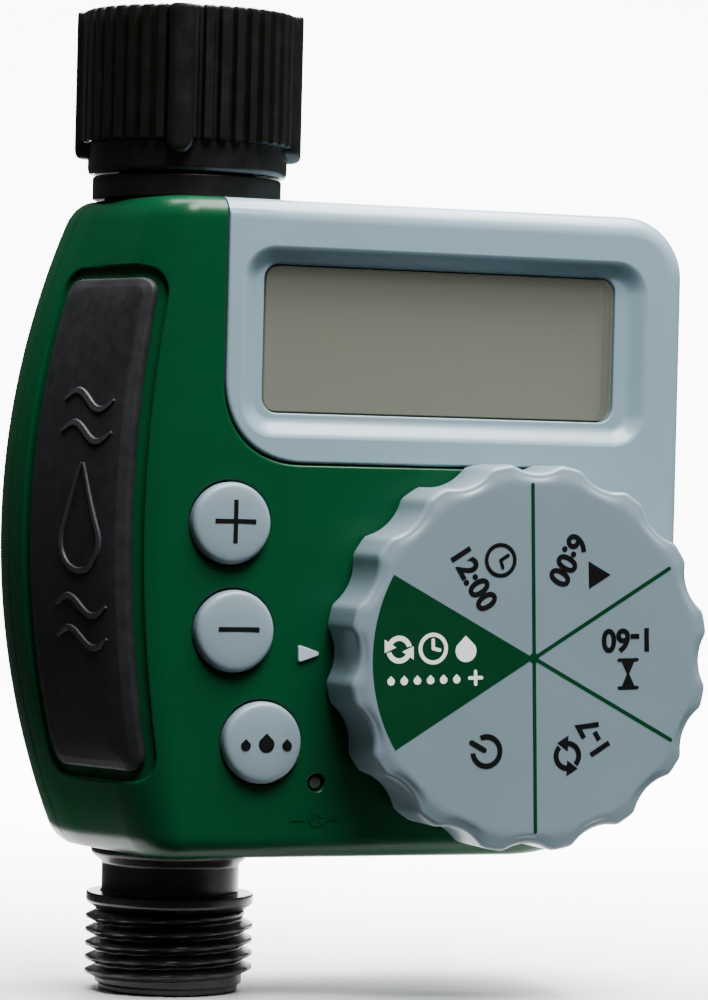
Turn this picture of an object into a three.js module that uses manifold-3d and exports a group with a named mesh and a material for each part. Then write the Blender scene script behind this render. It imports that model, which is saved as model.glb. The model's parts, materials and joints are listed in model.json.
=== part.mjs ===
// A hose-tap irrigation timer: a dial-and-display controller built around a latching water valve.
// Millimetres. X runs right along the front face, -Y is the front, +Z is up. The water axis is
// the Z axis, and Z = 0 is the top of the inlet washer, where the tap's rim seats.
import * as THREE from "three";
import { mergeVertices } from "three/addons/utils/BufferGeometryUtils.js";
import Module from "manifold-3d";

const wasm = await Module();
wasm.setup();

// ---- Driving dimensions ----
const GAP = 0.3; // between pieces that touch
const WALL = 2.2;
const BEVEL_STEPS = 2;

const FRONT = -25;
const REAR = 19;
const TOP = -17.9;
const BOTTOM = -121;
const RIGHT = 77.5;
const EDGE_R = 3.5; // fillet round the front and rear faces
const TOP_CORNER_R = 10;
const LOW_CORNER_R = 28;
const PART_Y = 3; // parting plane between the shells
const BARREL_R = 124; // bulge of the left side along its height
const BARREL_Z = -70.4;
const BARREL_X = 27.65; // left reach at the widest height
const SIDE_ANGLE = THREE.MathUtils.degToRad(69.4); // side face from the front plane
const SIDE_X = -17.75; // where the side face would meet the front plane
const SIDE_R = 11;
const SIDE_REAR_Y = 5; // where the side turns round to the rear
const PANEL = { z0: -107.4, z1: -30.9, near: -0.1, far: 21.4, bow: 1.8, r: 3 };
const PANEL_PROUD = 0.45; // of the housing's surface
const PANEL_DEPTH = 0.8; // of the panel's back below that surface
const PANEL_MOAT = 1.6; // width of the sunk border round the panel

const BEZEL_LEFT = -1.5;
const BEZEL_LOW = -59.2;
const BEZEL_BACK = -12;
const BEZEL_ARC = { radius: 30, from: 0.445 * Math.PI, to: 0.14 * Math.PI };

const RECESS = { x0: 1.5, x1: 70, z0: -54.7, z1: -25.7, r: 5, depth: 1.8, cove: 2.3 };
const WINDOW = { x0: 5.2, x1: 65.5, z0: -51.3, z1: -28, r: 2.5 };
const BACKING = { x0: 0.2, x1: 71.4, z0: -56.2, z1: -24.2, r: 5 }; // plate behind the recess
const BACKING_FRONT = -23.5;
const LENS_BACK = -21.4;
const LCD = { x0: 4.4, x1: 66, y0: -19.1, y1: -17, z0: -52.9, z1: -27.6 };

const DIAL = { x: 46.4, z: -88.7, crest: 30.6, valley: 29.1, flutes: 16, fluteR: 7.8 };
const DIAL_BACK = -25.6;
const DIAL_FRONT = -37.5;
const HUB_R = 4.9;
const ROTOR_R = 13;
const ROTOR_Y = -21.6;

const BUTTON_R = 6.4;
const MAT_DOME_Y = -18.2; // front of the rubber domes, past the buttons' 1.2 travel
const BUTTONS = {
  plus_button: [-0.25, -68.65],
  minus_button: [0.7, -85.4],
  manual_button: [5.7, -102.7],
};
const RESET = { x: 15.2, z: -109, hole: 1.4, pin: 0.95 };
const POINTER = [[11.4, -87.3], [11.4, -90.3], [15.3, -88.8]];

const NUT_TOP = 12.5;
const NUT_RIB_LOW = -8.7;
const NUT_LOW = -13.6;
const NUT_R = 16;
const NUT_LUG_LOW = -11.1;
const RIB_R = 17.3;
const RIB_ROOT_R = 16.3;
const RIBS = 42;
const RIB_SECTION = [[-0.34, RIB_ROOT_R], [-0.2, RIB_R], [0.2, RIB_R], [0.34, RIB_ROOT_R]];
const LUG_R = 18.2;
const LUG_HALF = 2.35; // half of a lug's width
const LUG_ANGLE = -113.5; // degrees round the water axis of the front lug

const PITCH = 25.4 / 11.5; // garden hose thread
const THREAD_R = 13.45;
const ROOT_R = 11.85;
const BORE_R = 8;
const OUTLET_END = -143.85;
const NUT_THREAD_R = 12.35;
const SHOULDER_TOP_R = 15.15;
const SHOULDER_R = 13;
const NECK_R = 12;

const BOARD = { y0: -15.6, y1: -14 };
const CASE_SCREWS = [[22, -23.2], [70.8, -29], [20, -115], [60, -112], [-18.5, -70]];
const SCREW_SEAT_Y = 16.2; // floor of the counterbores in the rear shell
const POST_R = 3.2;
const PILOT_R = 1.6;
const BOARD_SCREWS = [[27, -112], [27, -64]];
const BAY = { x0: 40, x1: 72, z0: -103, z1: -42, y0: 0.4, y1: 16.2 };
const HINGE = { x: 37.2, y: 17.4 };
const HINGE_CLEAR = 1.2; // lets the door's hinged edge swing past the opening's edge
const KNUCKLES = [[-97, -85], [-60, -48]]; // heights of the door's two knuckles
const CELL_R = 7.1;
const CELL_X = [48.5, 63.5];
const CELL_WAY = [1, -1]; // which end each cell's button points to
const CELL_Y = 9;
const CELL_LIFT = 8; // room for the contact spring under each cell's flat end

const VALVE_Z = -62; // height of the solenoid axis
const VALVE_FACE = 14; // X of the face that the diaphragm seals on
const SEAT_R = 13;
const VALVE_SCREW_R = 11.4;
const COIL_R = 8.6;
const COIL_X0 = 22;
const COIL_X1 = 36;
const PLUNGER_R = 2.6;
const PLUNGER_END = 32;
const GUIDE_END = 37.6;

// ---- Materials ----
const paint = (color, roughness, metalness = 0) =>
  new THREE.MeshStandardMaterial({ color, roughness, metalness });

const COLORS = {
  green: () => paint(0x06502f, 0.42),
  grey: () => paint(0x9aabb5, 0.45),
  black: () => paint(0x101112, 0.38),
  charcoal: () => paint(0x2c2e33, 0.6),
  lens: () => paint(0xaeb2a2, 0.12),
  lcd: () => paint(0x7e8070, 0.3),
  rubber: () => paint(0x1b1b1c, 0.85),
  steel: () => paint(0xb9bcc0, 0.3, 1),
  copper: () => paint(0xa85a2a, 0.35, 1),
  board: () => paint(0x1f5a34, 0.5),
  cell: () => paint(0x3a3f45, 0.35),
  white: () => paint(0xe6e6e2, 0.5),
};

// ---- Solids ----
function solidOf(geometry) {
  const bare = new THREE.BufferGeometry();
  bare.setAttribute("position", geometry.getAttribute("position").clone());
  if (geometry.index) bare.setIndex(geometry.index.clone());
  const merged = mergeVertices(bare, 1e-4);
  const triangles = new Uint32Array(merged.index.array);
  const positions = merged.attributes.position.array;
  if (signedVolume(positions, triangles) < 0) {
    for (let i = 0; i < triangles.length; i += 3) {
      [triangles[i + 1], triangles[i + 2]] = [triangles[i + 2], triangles[i + 1]];
    }
  }
  const mesh = { numProp: 3, vertProperties: positions, triVerts: triangles };
  return new wasm.Manifold(new wasm.Mesh(mesh));
}

function signedVolume(positions, triangles) {
  const corner = (i) => new THREE.Vector3().fromArray(positions, 3 * triangles[i]);
  let sum = 0;
  for (let i = 0; i < triangles.length; i += 3) {
    sum += corner(i).dot(corner(i + 1).cross(corner(i + 2)));
  }
  return sum / 6;
}

function geometryOf(solid) {
  const mesh = solid.getMesh();
  const geometry = new THREE.BufferGeometry();
  geometry.setAttribute("position", new THREE.BufferAttribute(mesh.vertProperties, 3));
  geometry.setIndex(new THREE.BufferAttribute(mesh.triVerts, 1));
  geometry.computeVertexNormals();
  return geometry;
}

const union = (first, ...rest) => rest.reduce((sum, next) => sum.add(next), first);
const cut = (first, ...rest) => rest.reduce((left, next) => left.subtract(next), first);

function box(x0, x1, y0, y1, z0, z1) {
  const geometry = new THREE.BoxGeometry(x1 - x0, y1 - y0, z1 - z0);
  return solidOf(geometry.translate((x0 + x1) / 2, (y0 + y1) / 2, (z0 + z1) / 2));
}

// A round bar along one axis, from one coordinate to another on it, centred at (a, b) across it.
function bar(axis, radius, from, to, a = 0, b = 0, sides = 12, farRadius = radius) {
  const low = Math.min(from, to);
  const length = Math.abs(to - from);
  const geometry = new THREE.CylinderGeometry(farRadius, radius, length, sides);
  geometry.translate(0, low + length / 2, 0);
  if (axis === "x") geometry.rotateZ(-Math.PI / 2).translate(0, a, b);
  if (axis === "y") geometry.translate(a, 0, b);
  if (axis === "z") geometry.rotateX(Math.PI / 2).translate(a, b, 0);
  return solidOf(geometry);
}

const ring = (axis, outer, inner, from, to, a = 0, b = 0, sides = 12) =>
  bar(axis, outer, from, to, a, b, sides).subtract(
    bar(axis, inner, Math.min(from, to) - 1, Math.max(from, to) + 1, a, b, sides),
  );

// A body turned about the Z axis from a closed outline of [radius, height] points.
function turned(points, sides = 24) {
  const outline = [...points, points[0]].map(([r, z]) => new THREE.Vector2(r, z));
  return solidOf(new THREE.LatheGeometry(outline, sides).rotateX(Math.PI / 2));
}

// A shape drawn in X and Z, extruded from y0 back to y1. Its end edges are rounded over `round`
// of its depth and `side` of its outline.
function alongY(shape, y0, y1, round = 0, side = round, curveSegments = 3) {
  const geometry = new THREE.ExtrudeGeometry(shape, {
    depth: y1 - y0 - 2 * round,
    curveSegments,
    bevelEnabled: round > 0,
    bevelThickness: round,
    bevelSize: side,
    bevelOffset: -side,
    bevelSegments: BEVEL_STEPS,
  });
  return solidOf(geometry.rotateX(Math.PI / 2).translate(0, y1 - round, 0));
}

function roundedRect(x0, x1, y0, y1, r) {
  const shape = new THREE.Shape();
  shape.moveTo(x0 + r, y0).lineTo(x1 - r, y0);
  shape.absarc(x1 - r, y0 + r, r, -Math.PI / 2, 0);
  shape.absarc(x1 - r, y1 - r, r, 0, Math.PI / 2);
  shape.absarc(x0 + r, y1 - r, r, Math.PI / 2, Math.PI);
  shape.absarc(x0 + r, y0 + r, r, Math.PI, 1.5 * Math.PI);
  return shape;
}

function polygon(points) {
  return new THREE.Shape(points.map(([x, y]) => new THREE.Vector2(x, y)));
}

// A helical thread ridge: a straight strip of trapezoid section, wound round the Z axis.
function threadRidge(root, crest, zLow, turns, steps = 16) {
  const outward = Math.sign(crest - root);
  const section = polygon([[-0.3, -0.95], [1, -0.28], [1, 0.28], [-0.3, 0.95]]);
  const strip = new THREE.ExtrudeGeometry(section, {
    depth: turns,
    steps: Math.round(turns * steps),
    bevelEnabled: false,
  });
  const place = strip.getAttribute("position");
  for (let i = 0; i < place.count; i++) {
    const turn = place.getZ(i);
    const runout = Math.min(1, 0.15 + 4 * turn, 0.15 + 4 * (turns - turn));
    const share = place.getX(i) > 0 ? runout : 1;
    const radius = root + place.getX(i) * share * Math.abs(crest - root) * outward;
    const angle = 2 * Math.PI * turn;
    const z = zLow + PITCH * turn + place.getY(i);
    place.setXYZ(i, radius * Math.cos(angle), radius * Math.sin(angle), z);
  }
  return solidOf(strip);
}

// ---- Housing ----
function barrelScale(z) {
  const sag = BARREL_R - Math.sqrt(BARREL_R ** 2 - (z - BARREL_Z) ** 2);
  return 1 - sag / BARREL_X;
}

// The left side's section in X and Y at its widest height, `inset` inside the outer surface.
function sideSection(inset) {
  const arcX = SIDE_X + SIDE_R * Math.tan(SIDE_ANGLE / 2);
  const arcY = FRONT + SIDE_R;
  const left = -BARREL_X + inset;
  const rearR = REAR - SIDE_REAR_Y;
  const shape = new THREE.Shape();
  shape.moveTo(8, FRONT + inset).lineTo(arcX, FRONT + inset);
  shape.absarc(arcX, arcY, SIDE_R - inset, -Math.PI / 2, -Math.PI / 2 - SIDE_ANGLE, true);
  shape.lineTo(-26 + inset * Math.sin(SIDE_ANGLE), -3 + inset * Math.cos(SIDE_ANGLE));
  shape.quadraticCurveTo(left, 1.4, left, SIDE_REAR_Y);
  shape.absarc(-BARREL_X + rearR, SIDE_REAR_Y, rearR - inset, Math.PI, Math.PI / 2, true);
  shape.lineTo(8, REAR - inset);
  return shape;
}

function sideBlock(inset) {
  const round = EDGE_R - Math.max(inset, 0);
  const low = BOTTOM + inset;
  const geometry = new THREE.ExtrudeGeometry(sideSection(inset), {
    depth: TOP - inset - low - 2 * round,
    steps: 10,
    curveSegments: 3,
    bevelThickness: round,
    bevelSize: round,
    bevelOffset: -round,
    bevelSegments: BEVEL_STEPS,
  });
  geometry.translate(0, 0, low + round);
  const place = geometry.getAttribute("position");
  for (let i = 0; i < place.count; i++) {
    const x = place.getX(i);
    if (x < 0) place.setX(i, x * barrelScale(place.getZ(i)));
  }
  return solidOf(geometry);
}

function frontOutline(inset) {
  const x1 = RIGHT - inset;
  const z0 = BOTTOM + inset;
  const z1 = TOP - inset;
  const high = TOP_CORNER_R - inset;
  const low = LOW_CORNER_R - inset;
  const shape = new THREE.Shape();
  shape.moveTo(-2, z0).lineTo(x1 - low, z0);
  shape.absarc(x1 - low, z0 + low, low, -Math.PI / 2, 0);
  shape.absarc(x1 - high, z1 - high, high, 0, Math.PI / 2);
  shape.lineTo(-2, z1);
  return shape;
}

// The whole housing block with every surface moved in by `inset`.
function block(inset) {
  const round = EDGE_R - Math.max(inset, 0);
  const flat = alongY(frontOutline(inset), FRONT + inset, REAR - inset, round, round, 4);
  return flat.add(sideBlock(inset));
}

const outer = block(0);
const inner = block(WALL);
const walls = outer.subtract(inner);

const inFrontOf = (solid, y) => solid.intersect(box(-60, 100, -60, y, -200, 60));
const behind = (solid, y) => solid.intersect(box(-60, 100, y, 60, -200, 60));
const bars = (places, radius, y0, y1, sides = 10) =>
  places.map(([x, z]) => bar("y", radius, y0, y1, x, z, sides));

// The display bezel's outline, grown by `grow` for the space that it fits.
function bezelOutline(grow) {
  const left = BEZEL_LEFT - grow;
  const low = BEZEL_LOW - grow;
  const r = BEZEL_ARC.radius - grow;
  const { from, to } = BEZEL_ARC;
  const shape = new THREE.Shape();
  shape.moveTo(left, 0).lineTo(left, low + 13);
  shape.bezierCurveTo(left, low + 5, left + 5, low, left + 13, low);
  shape.lineTo(DIAL.x + r * Math.cos(from), low);
  shape.absarc(DIAL.x, DIAL.z, r, from, to, true);
  shape.lineTo(100, DIAL.z + r * Math.sin(to)).lineTo(100, 0);
  return shape;
}

// The side panel's outline grown by `grow`, drawn along the slanted side and extruded through it.
function sidePrism(grow) {
  const { z0, z1, near, far, bow, r } = PANEL;
  const [low, high] = [z0 - grow, z1 + grow];
  const [a, b] = [near - grow, far + grow];
  const mid = (low + high) / 2;
  const shape = new THREE.Shape();
  shape.moveTo(a + r, low).lineTo(b - r, low);
  shape.quadraticCurveTo(b, low, b + 0.3, low + r);
  shape.quadraticCurveTo(b + 2 * bow, mid, b + 0.3, high - r);
  shape.quadraticCurveTo(b, high, b - r, high);
  shape.lineTo(a + r, high);
  shape.quadraticCurveTo(a, high, a + 0.2, high - r);
  shape.quadraticCurveTo(a + 1.4 * bow, mid, a + 0.2, low + r);
  shape.quadraticCurveTo(a, low, a + r, low);
  const settings = { depth: 21, curveSegments: 4, bevelEnabled: false };
  const geometry = new THREE.ExtrudeGeometry(shape, settings).translate(0, 0, -12);
  const along = new THREE.Vector3(-Math.cos(SIDE_ANGLE), Math.sin(SIDE_ANGLE), 0);
  const up = new THREE.Vector3(0, 0, 1);
  const frame = new THREE.Matrix4().makeBasis(along, up, along.clone().cross(up));
  return solidOf(geometry.applyMatrix4(frame).translate(SIDE_X, FRONT, 0));
}

// Where the valve body passes out through the housing's top and bottom.
const valveHoles = [
  bar("z", SHOULDER_R + GAP, -26, TOP + 1, 0, 0, 24),
  bar("z", NECK_R + GAP, BOTTOM - 2, BOTTOM + 6, 0, 0, 24),
];

function frontShell() {
  const back = PART_Y - GAP / 2;
  const shellScrews = CASE_SCREWS.filter(([, z]) => z < BEZEL_LOW);
  const posts = [
    ...bars(shellScrews, POST_R, FRONT + 1, back),
    ...bars(BOARD_SCREWS, 2.6, FRONT + 1, BOARD.y0 - GAP),
  ].map((post) => post.intersect(outer));
  const skin = inFrontOf(walls, back).subtract(alongY(bezelOutline(GAP), -60, BEZEL_BACK + GAP));
  return cut(
    union(skin, ...posts),
    sidePrism(PANEL_MOAT).subtract(block(PANEL_DEPTH + GAP)),
    ...bars(Object.values(BUTTONS), BUTTON_R + 0.35, -30, -20, 24),
    ...valveHoles,
    ...bars(shellScrews, PILOT_R, -12, 5),
    ...bars(BOARD_SCREWS, 1.3, -21.5, -10),
    bar("y", HUB_R + 0.4, -30, -20, DIAL.x, DIAL.z, 24),
    bar("y", RESET.hole, -30, -20, RESET.x, RESET.z, 20),
    alongY(polygon(grownTriangle(POINTER, GAP)), -30, FRONT + 1.1),
  );
}

// A triangle of [x, z] points with its corners moved out from the middle.
function grownTriangle(points, grow) {
  const middle = [0, 1].map((k) => points.reduce((sum, p) => sum + p[k], 0) / 3);
  return points.map((p) => {
    const reach = Math.hypot(p[0] - middle[0], p[1] - middle[1]);
    return [0, 1].map((k) => middle[k] + (p[k] - middle[k]) * (1 + (2 * grow) / reach));
  });
}

const recessShape = (name, grow = 0) =>
  roundedRect(name.x0 - grow, name.x1 + grow, name.z0 - grow, name.z1 + grow, name.r + grow);

function displayBezel() {
  const outline = alongY(bezelOutline(0), -60, BEZEL_BACK);
  const bezelScrews = CASE_SCREWS.filter(([, z]) => z > BEZEL_LOW);
  const posts = bars(bezelScrews, 2.6, BACKING_FRONT, PART_Y - GAP / 2);
  const backing = alongY(recessShape(BACKING), BACKING_FRONT, LENS_BACK);
  return cut(
    union(walls.intersect(outline), backing, ...posts),
    alongY(recessShape(RECESS), -30, FRONT + RECESS.depth, RECESS.depth, RECESS.cove),
    alongY(recessShape(WINDOW), -30, -20),
    ...bars(CASE_SCREWS, PILOT_R, -12, 5),
    ...valveHoles,
  );
}

function rearShell() {
  const front = PART_Y + GAP / 2;
  const { x0, x1, z0, z1 } = BAY;
  const posts = bars(CASE_SCREWS, POST_R, front, REAR - 1).map((post) => post.intersect(outer));
  const hingeRib = box(HINGE.x - 2.4, HINGE.x + 1.7, 14.6, REAR - 1, z0 - 3, z1 + 3);
  const slots = KNUCKLES.map(([low, high]) =>
    box(HINGE.x - 2.4, HINGE.x + 3, 13, REAR + 2, low - GAP, high + GAP),
  );
  return cut(
    union(behind(walls, front), hingeRib, ...posts),
    ...valveHoles,
    ...bars(CASE_SCREWS, 2.9, SCREW_SEAT_Y, REAR + 1),
    ...bars(CASE_SCREWS, PILOT_R, 0, 17),
    alongY(roundedRect(x0 - HINGE_CLEAR, x1 + 0.8, z0 - 0.8, z1 + 0.8, 2), 13, REAR + 2),
    ...slots,
    bar("z", 1.1, z0 - 1, z1 + 1, HINGE.x, HINGE.y, 8),
  );
}

function sidePanel() {
  return block(-PANEL_PROUD).subtract(block(PANEL_DEPTH)).intersect(sidePrism(0));
}

function displayLens() {
  return alongY(recessShape(WINDOW, -GAP), FRONT + 1.9, LENS_BACK - 0.3);
}

function pointerMark() {
  return alongY(polygon(POINTER), FRONT - 0.5, FRONT + 0.8);
}

// ---- Display and board ----
function lcdHolder() {
  const { x0, x1, z0, z1 } = LCD;
  const rim = roundedRect(x0 - 1.2, x1 + 1.2, z0 - 1.2, z1 + 1.2, 1);
  const frame = alongY(rim, LCD.y0 - 2, LCD.y1 - GAP);
  return cut(
    frame,
    alongY(recessShape(WINDOW, -0.4), -30, 0),
    alongY(roundedRect(x0 - GAP, x1 + GAP, z0 - GAP, z1 + GAP, 0.5), LCD.y0 - GAP, 0),
    box(8 - GAP, 60 + GAP, -17.2, 0, z0 - 3, z0 + 3),
  );
}

const lcdPanel = () => box(LCD.x0, LCD.x1, LCD.y0, LCD.y1, LCD.z0, LCD.z1);
const zebraStrip = () => box(8, 60, LCD.y1 + GAP, BOARD.y0 - GAP, LCD.z0 + 0.5, LCD.z0 + 3);

function circuitBoard() {
  const outline = roundedRect(-4, 73, -115.5, -24, 3);
  return cut(
    alongY(outline, BOARD.y0, BOARD.y1).intersect(block(WALL + 0.5)),
    box(55.5, 80, -20, -10, -120, -106),
    box(66.4, 80, -20, -10, -33.2, -20),
    ...bars(CASE_SCREWS, POST_R + 0.4, -20, -10),
    ...bars(BOARD_SCREWS, 1.3, -20, -10),
  );
}

function keypadMat() {
  const sheet = alongY(roundedRect(-6.8, 12.6, -111, -60, 3), BOARD.y0 - 1.6, BOARD.y0 - GAP);
  const domes = Object.values(BUTTONS).map(([x, z]) =>
    bar("y", 2.4, MAT_DOME_Y, BOARD.y0 - 1, x, z, 12, 3.6),
  );
  return union(sheet, ...domes);
}

const resetSwitch = () =>
  box(RESET.x - 2.2, RESET.x + 2.2, MAT_DOME_Y, BOARD.y0 - GAP, RESET.z - 2.2, RESET.z + 2.2);

// ---- Controls ----
function button([x, z]) {
  const crown = [[0, -1.8], [3.8, -1.65], [5.9, -1.1], [BUTTON_R, -0.3]];
  const low = [[BUTTON_R, 2.5], [7.3, 2.5], [7.3, 3.6], [2.2, 3.6], [2.2, 5.4], [0, 5.4]];
  const outline = [...crown, ...low].map(([r, depth]) => [r, -depth]);
  const cap = turnedAlongY(outline, 20);
  return cap.translate([x, FRONT, z]);
}

// A body turned about an axis along Y: a [radius, depth] outline, with depth measured back.
function turnedAlongY(points, sides) {
  return turned(points, sides).rotate([90, 0, 0]);
}

function resetPin() {
  const stem = bar("y", RESET.pin, FRONT + 0.7, MAT_DOME_Y - 0.9, RESET.x, RESET.z, 16);
  return stem.add(bar("y", 2.1, FRONT + WALL + GAP, -21.2, RESET.x, RESET.z, 20));
}

// A circle with round flutes cut into it.
function dialShape() {
  const perFlute = 8;
  const reach = DIAL.valley + DIAL.fluteR;
  const points = Array.from({ length: perFlute * DIAL.flutes }, (_, i) => {
    const turn = (2 * Math.PI) / DIAL.flutes;
    const angle = (turn * i) / perFlute;
    const away = angle - turn * Math.round(i / perFlute);
    const inside = Math.max(DIAL.fluteR ** 2 - (reach * Math.sin(away)) ** 2, 0);
    const r = Math.min(reach * Math.cos(away) - Math.sqrt(inside), DIAL.crest);
    return [DIAL.x + r * Math.cos(angle), DIAL.z + r * Math.sin(angle)];
  });
  return polygon(points);
}

function dial() {
  const cap = alongY(dialShape(), DIAL_FRONT, DIAL_BACK + 1, 1);
  const skirt = inFrontOf(cap, DIAL_BACK);
  return cut(
    union(
      skirt.subtract(bar("y", DIAL.valley - 2.3, DIAL_FRONT + 2, -20, DIAL.x, DIAL.z, 40)),
      bar("y", HUB_R, DIAL_FRONT + 1, ROTOR_Y - GAP, DIAL.x, DIAL.z, 24),
    ),
    bar("y", 1.5, -33, 0, DIAL.x, DIAL.z, 16),
  );
}

function dialRotor() {
  const notches = Array.from({ length: 12 }, (_, i) => {
    const angle = (Math.PI * i) / 6;
    const x = DIAL.x + ROTOR_R * Math.cos(angle);
    return bar("y", 1.2, -30, 0, x, DIAL.z + ROTOR_R * Math.sin(angle), 8);
  });
  const disc = bar("y", ROTOR_R, ROTOR_Y, ROTOR_Y + 1.4, DIAL.x, DIAL.z, 24);
  return cut(disc, bar("y", 1.5, -30, 0, DIAL.x, DIAL.z, 16), ...notches);
}

function dialScrew() {
  const headY = ROTOR_Y + 1.4 + GAP;
  return union(
    bar("y", 2.6, headY, headY + 1.4, DIAL.x, DIAL.z),
    bar("y", 1.2, -31, headY + 0.1, DIAL.x, DIAL.z, 12),
  );
}

function dialWiper() {
  const y = ROTOR_Y + 1.4 + GAP;
  const plate = ring("y", 6.5, 3.2, y, y + 0.4, DIAL.x, DIAL.z, 16);
  const arms = [0, 120, 240].map((degrees) => {
    const arm = new THREE.BoxGeometry(7.5, 0.4, 1.6);
    arm.translate(3.4, 0, 0).rotateZ(THREE.MathUtils.degToRad(28));
    arm.translate(4.6, 0.2, 0).rotateY(THREE.MathUtils.degToRad(degrees));
    return solidOf(arm.translate(DIAL.x, y, DIAL.z));
  });
  return union(plate, ...arms);
}

// A leaf spring below the rotor, whose bump rests in one of its notches.
function detentSpring() {
  const z = DIAL.z - ROTOR_R;
  const leaf = box(DIAL.x - 9, DIAL.x + 9, -22.2, ROTOR_Y + 1.4, z - 1.5, z - 1);
  const bump = bar("y", 0.75, -22.2, ROTOR_Y + 1.4, DIAL.x, z - 0.9, 12);
  const foot = box(DIAL.x + 7, DIAL.x + 9, -22.2, -19, z - 3.5, z - 1);
  return union(leaf, bump, foot);
}

// ---- Water path ----
function valveBody() {
  const outside = turned([
    [0, -3.3], [11.9, -3.3], [11.9, -7.1], [9.9, -7.1], [9.9, -9.1], [10.9, -9.1], [10.9, -13.9],
    [SHOULDER_TOP_R, -13.9], [SHOULDER_TOP_R, TOP + GAP], [SHOULDER_R, TOP + GAP],
    [SHOULDER_R, -24], [NECK_R, -26], [NECK_R, BOTTOM - GAP], [13, BOTTOM - GAP], [11.05, -123.5],
    [11.05, -128.4], [THREAD_R, -128.4], [THREAD_R, -129.9], [ROOT_R, -131.2], [ROOT_R, -142.6],
    [11.2, -143], [11.2, OUTLET_END], [0, OUTLET_END],
  ]);
  const seat = bar("x", SEAT_R, 0, VALVE_FACE, 0, VALVE_Z, 20);
  const chamber = ring("x", 10, 6, VALVE_FACE - 4.5, VALVE_FACE + 1, 0, VALVE_Z, 16);
  return cut(
    union(outside, seat, threadRidge(ROOT_R, THREAD_R, -142.2, 5.3)),
    bar("z", BORE_R, -52, 1, 0, 0, 20),
    bar("z", 9.3, -4.7, 1, 0, 0, 20),
    bar("z", BORE_R, OUTLET_END - 1, -68, 0, 0, 20),
    bar("z", 4.6, -69, VALVE_Z),
    bar("x", 4.6, 0, VALVE_FACE + 1, 0, VALVE_Z, 16),
    chamber,
    box(0, VALVE_FACE - 3, -3, 3, -55, -51),
    ...valveScrewHoles(1.3, VALVE_FACE - 8, VALVE_FACE + 1),
  );
}

function valveScrewPlaces() {
  return [45, 135, 225, 315].map((degrees) => {
    const angle = THREE.MathUtils.degToRad(degrees);
    return [VALVE_SCREW_R * Math.cos(angle), VALVE_Z + VALVE_SCREW_R * Math.sin(angle)];
  });
}

const valveScrewHoles = (radius, x0, x1) =>
  valveScrewPlaces().map(([y, z]) => bar("x", radius, x0, x1, y, z, 8));

function diaphragm() {
  const x = VALVE_FACE + GAP;
  const sheet = bar("x", SEAT_R - 0.4, x, x + 1, 0, VALVE_Z, 20);
  const bead = ring("x", 9.6, 8.6, x, x + 1.6, 0, VALVE_Z, 20);
  return cut(
    union(sheet, bar("x", 5.2, x, x + 1.8, 0, VALVE_Z, 16), bead),
    ...valveScrewHoles(1.6, x - 1, x + 3),
  );
}

function diaphragmCover() {
  const x = VALVE_FACE + GAP + 1 + GAP;
  const plate = bar("x", SEAT_R, x, x + 4.2, 0, VALVE_Z, 20);
  const guide = bar("x", PLUNGER_R + 1.2, x + 3, GUIDE_END, 0, VALVE_Z, 16);
  return cut(
    union(plate, guide),
    bar("x", 10, x - 1, x + 1.4, 0, VALVE_Z, 20),
    bar("x", PLUNGER_R + 0.3, x + 2.2, GUIDE_END - 1.2, 0, VALVE_Z, 16),
    bar("x", 1, x, x + 3, 0, VALVE_Z, 6),
    ...valveScrewHoles(1.6, x - 1, x + 6),
  );
}

function valveScrew([y, z]) {
  const face = VALVE_FACE + GAP + 1 + GAP + 4.2 + GAP;
  return union(
    bar("x", 2, face, face + 1.5, y, z),
    bar("x", 1, VALVE_FACE - 7, face + 0.1, y, z, 8),
  );
}

const solenoidCoil = () =>
  cut(
    union(
      bar("x", COIL_R - 0.7, COIL_X0, COIL_X1, 0, VALVE_Z, 16),
      bar("x", COIL_R, COIL_X0, COIL_X0 + 1.2, 0, VALVE_Z, 16),
      bar("x", COIL_R, COIL_X1 - 1.2, COIL_X1, 0, VALVE_Z, 16),
    ),
    bar("x", PLUNGER_R + 1.5, COIL_X0 - 1, COIL_X1 + 1, 0, VALVE_Z, 16),
  );

function solenoidYoke() {
  const [x0, x1] = [COIL_X0 - GAP, COIL_X1 + GAP];
  const width = 6;
  return cut(
    box(x0 - 1, x1 + 1, -width, width, VALVE_Z - COIL_R - 1.4, VALVE_Z + COIL_R + GAP),
    box(x0, x1, -9, 9, VALVE_Z - COIL_R - GAP, VALVE_Z + 20),
    bar("x", PLUNGER_R + 1.5, x0 - 2, x1 + 2, 0, VALVE_Z, 16),
  );
}

function solenoidPlunger() {
  const start = VALVE_FACE + GAP + 1 + GAP + 2.3;
  const tip = bar("x", PLUNGER_R, start + 0.3, PLUNGER_END, 0, VALVE_Z, 20);
  return cut(tip, bar("x", 1.5, PLUNGER_END - 2.5, PLUNGER_END + 1, 0, VALVE_Z, 16));
}

// A round-wire compression spring along one axis.
function coilSpring(axis, from, to, radius, wire, turns, a, b) {
  class Helix extends THREE.Curve {
    getPoint(t) {
      const angle = 2 * Math.PI * turns * t;
      const along = from + (to - from) * t;
      const u = radius * Math.cos(angle);
      const v = radius * Math.sin(angle);
      if (axis === "x") return new THREE.Vector3(along, a + u, b + v);
      return new THREE.Vector3(a + u, b + v, along);
    }
  }
  const section = new THREE.Shape().absarc(0, 0, wire, 0, 2 * Math.PI);
  const settings = { steps: turns * 8, curveSegments: 2, bevelEnabled: false };
  const geometry = new THREE.ExtrudeGeometry(section, { ...settings, extrudePath: new Helix() });
  return solidOf(geometry);
}

const inletWasher = () => ring("z", 12, BORE_R, -3, 0, 0, 0, 24);

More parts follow.
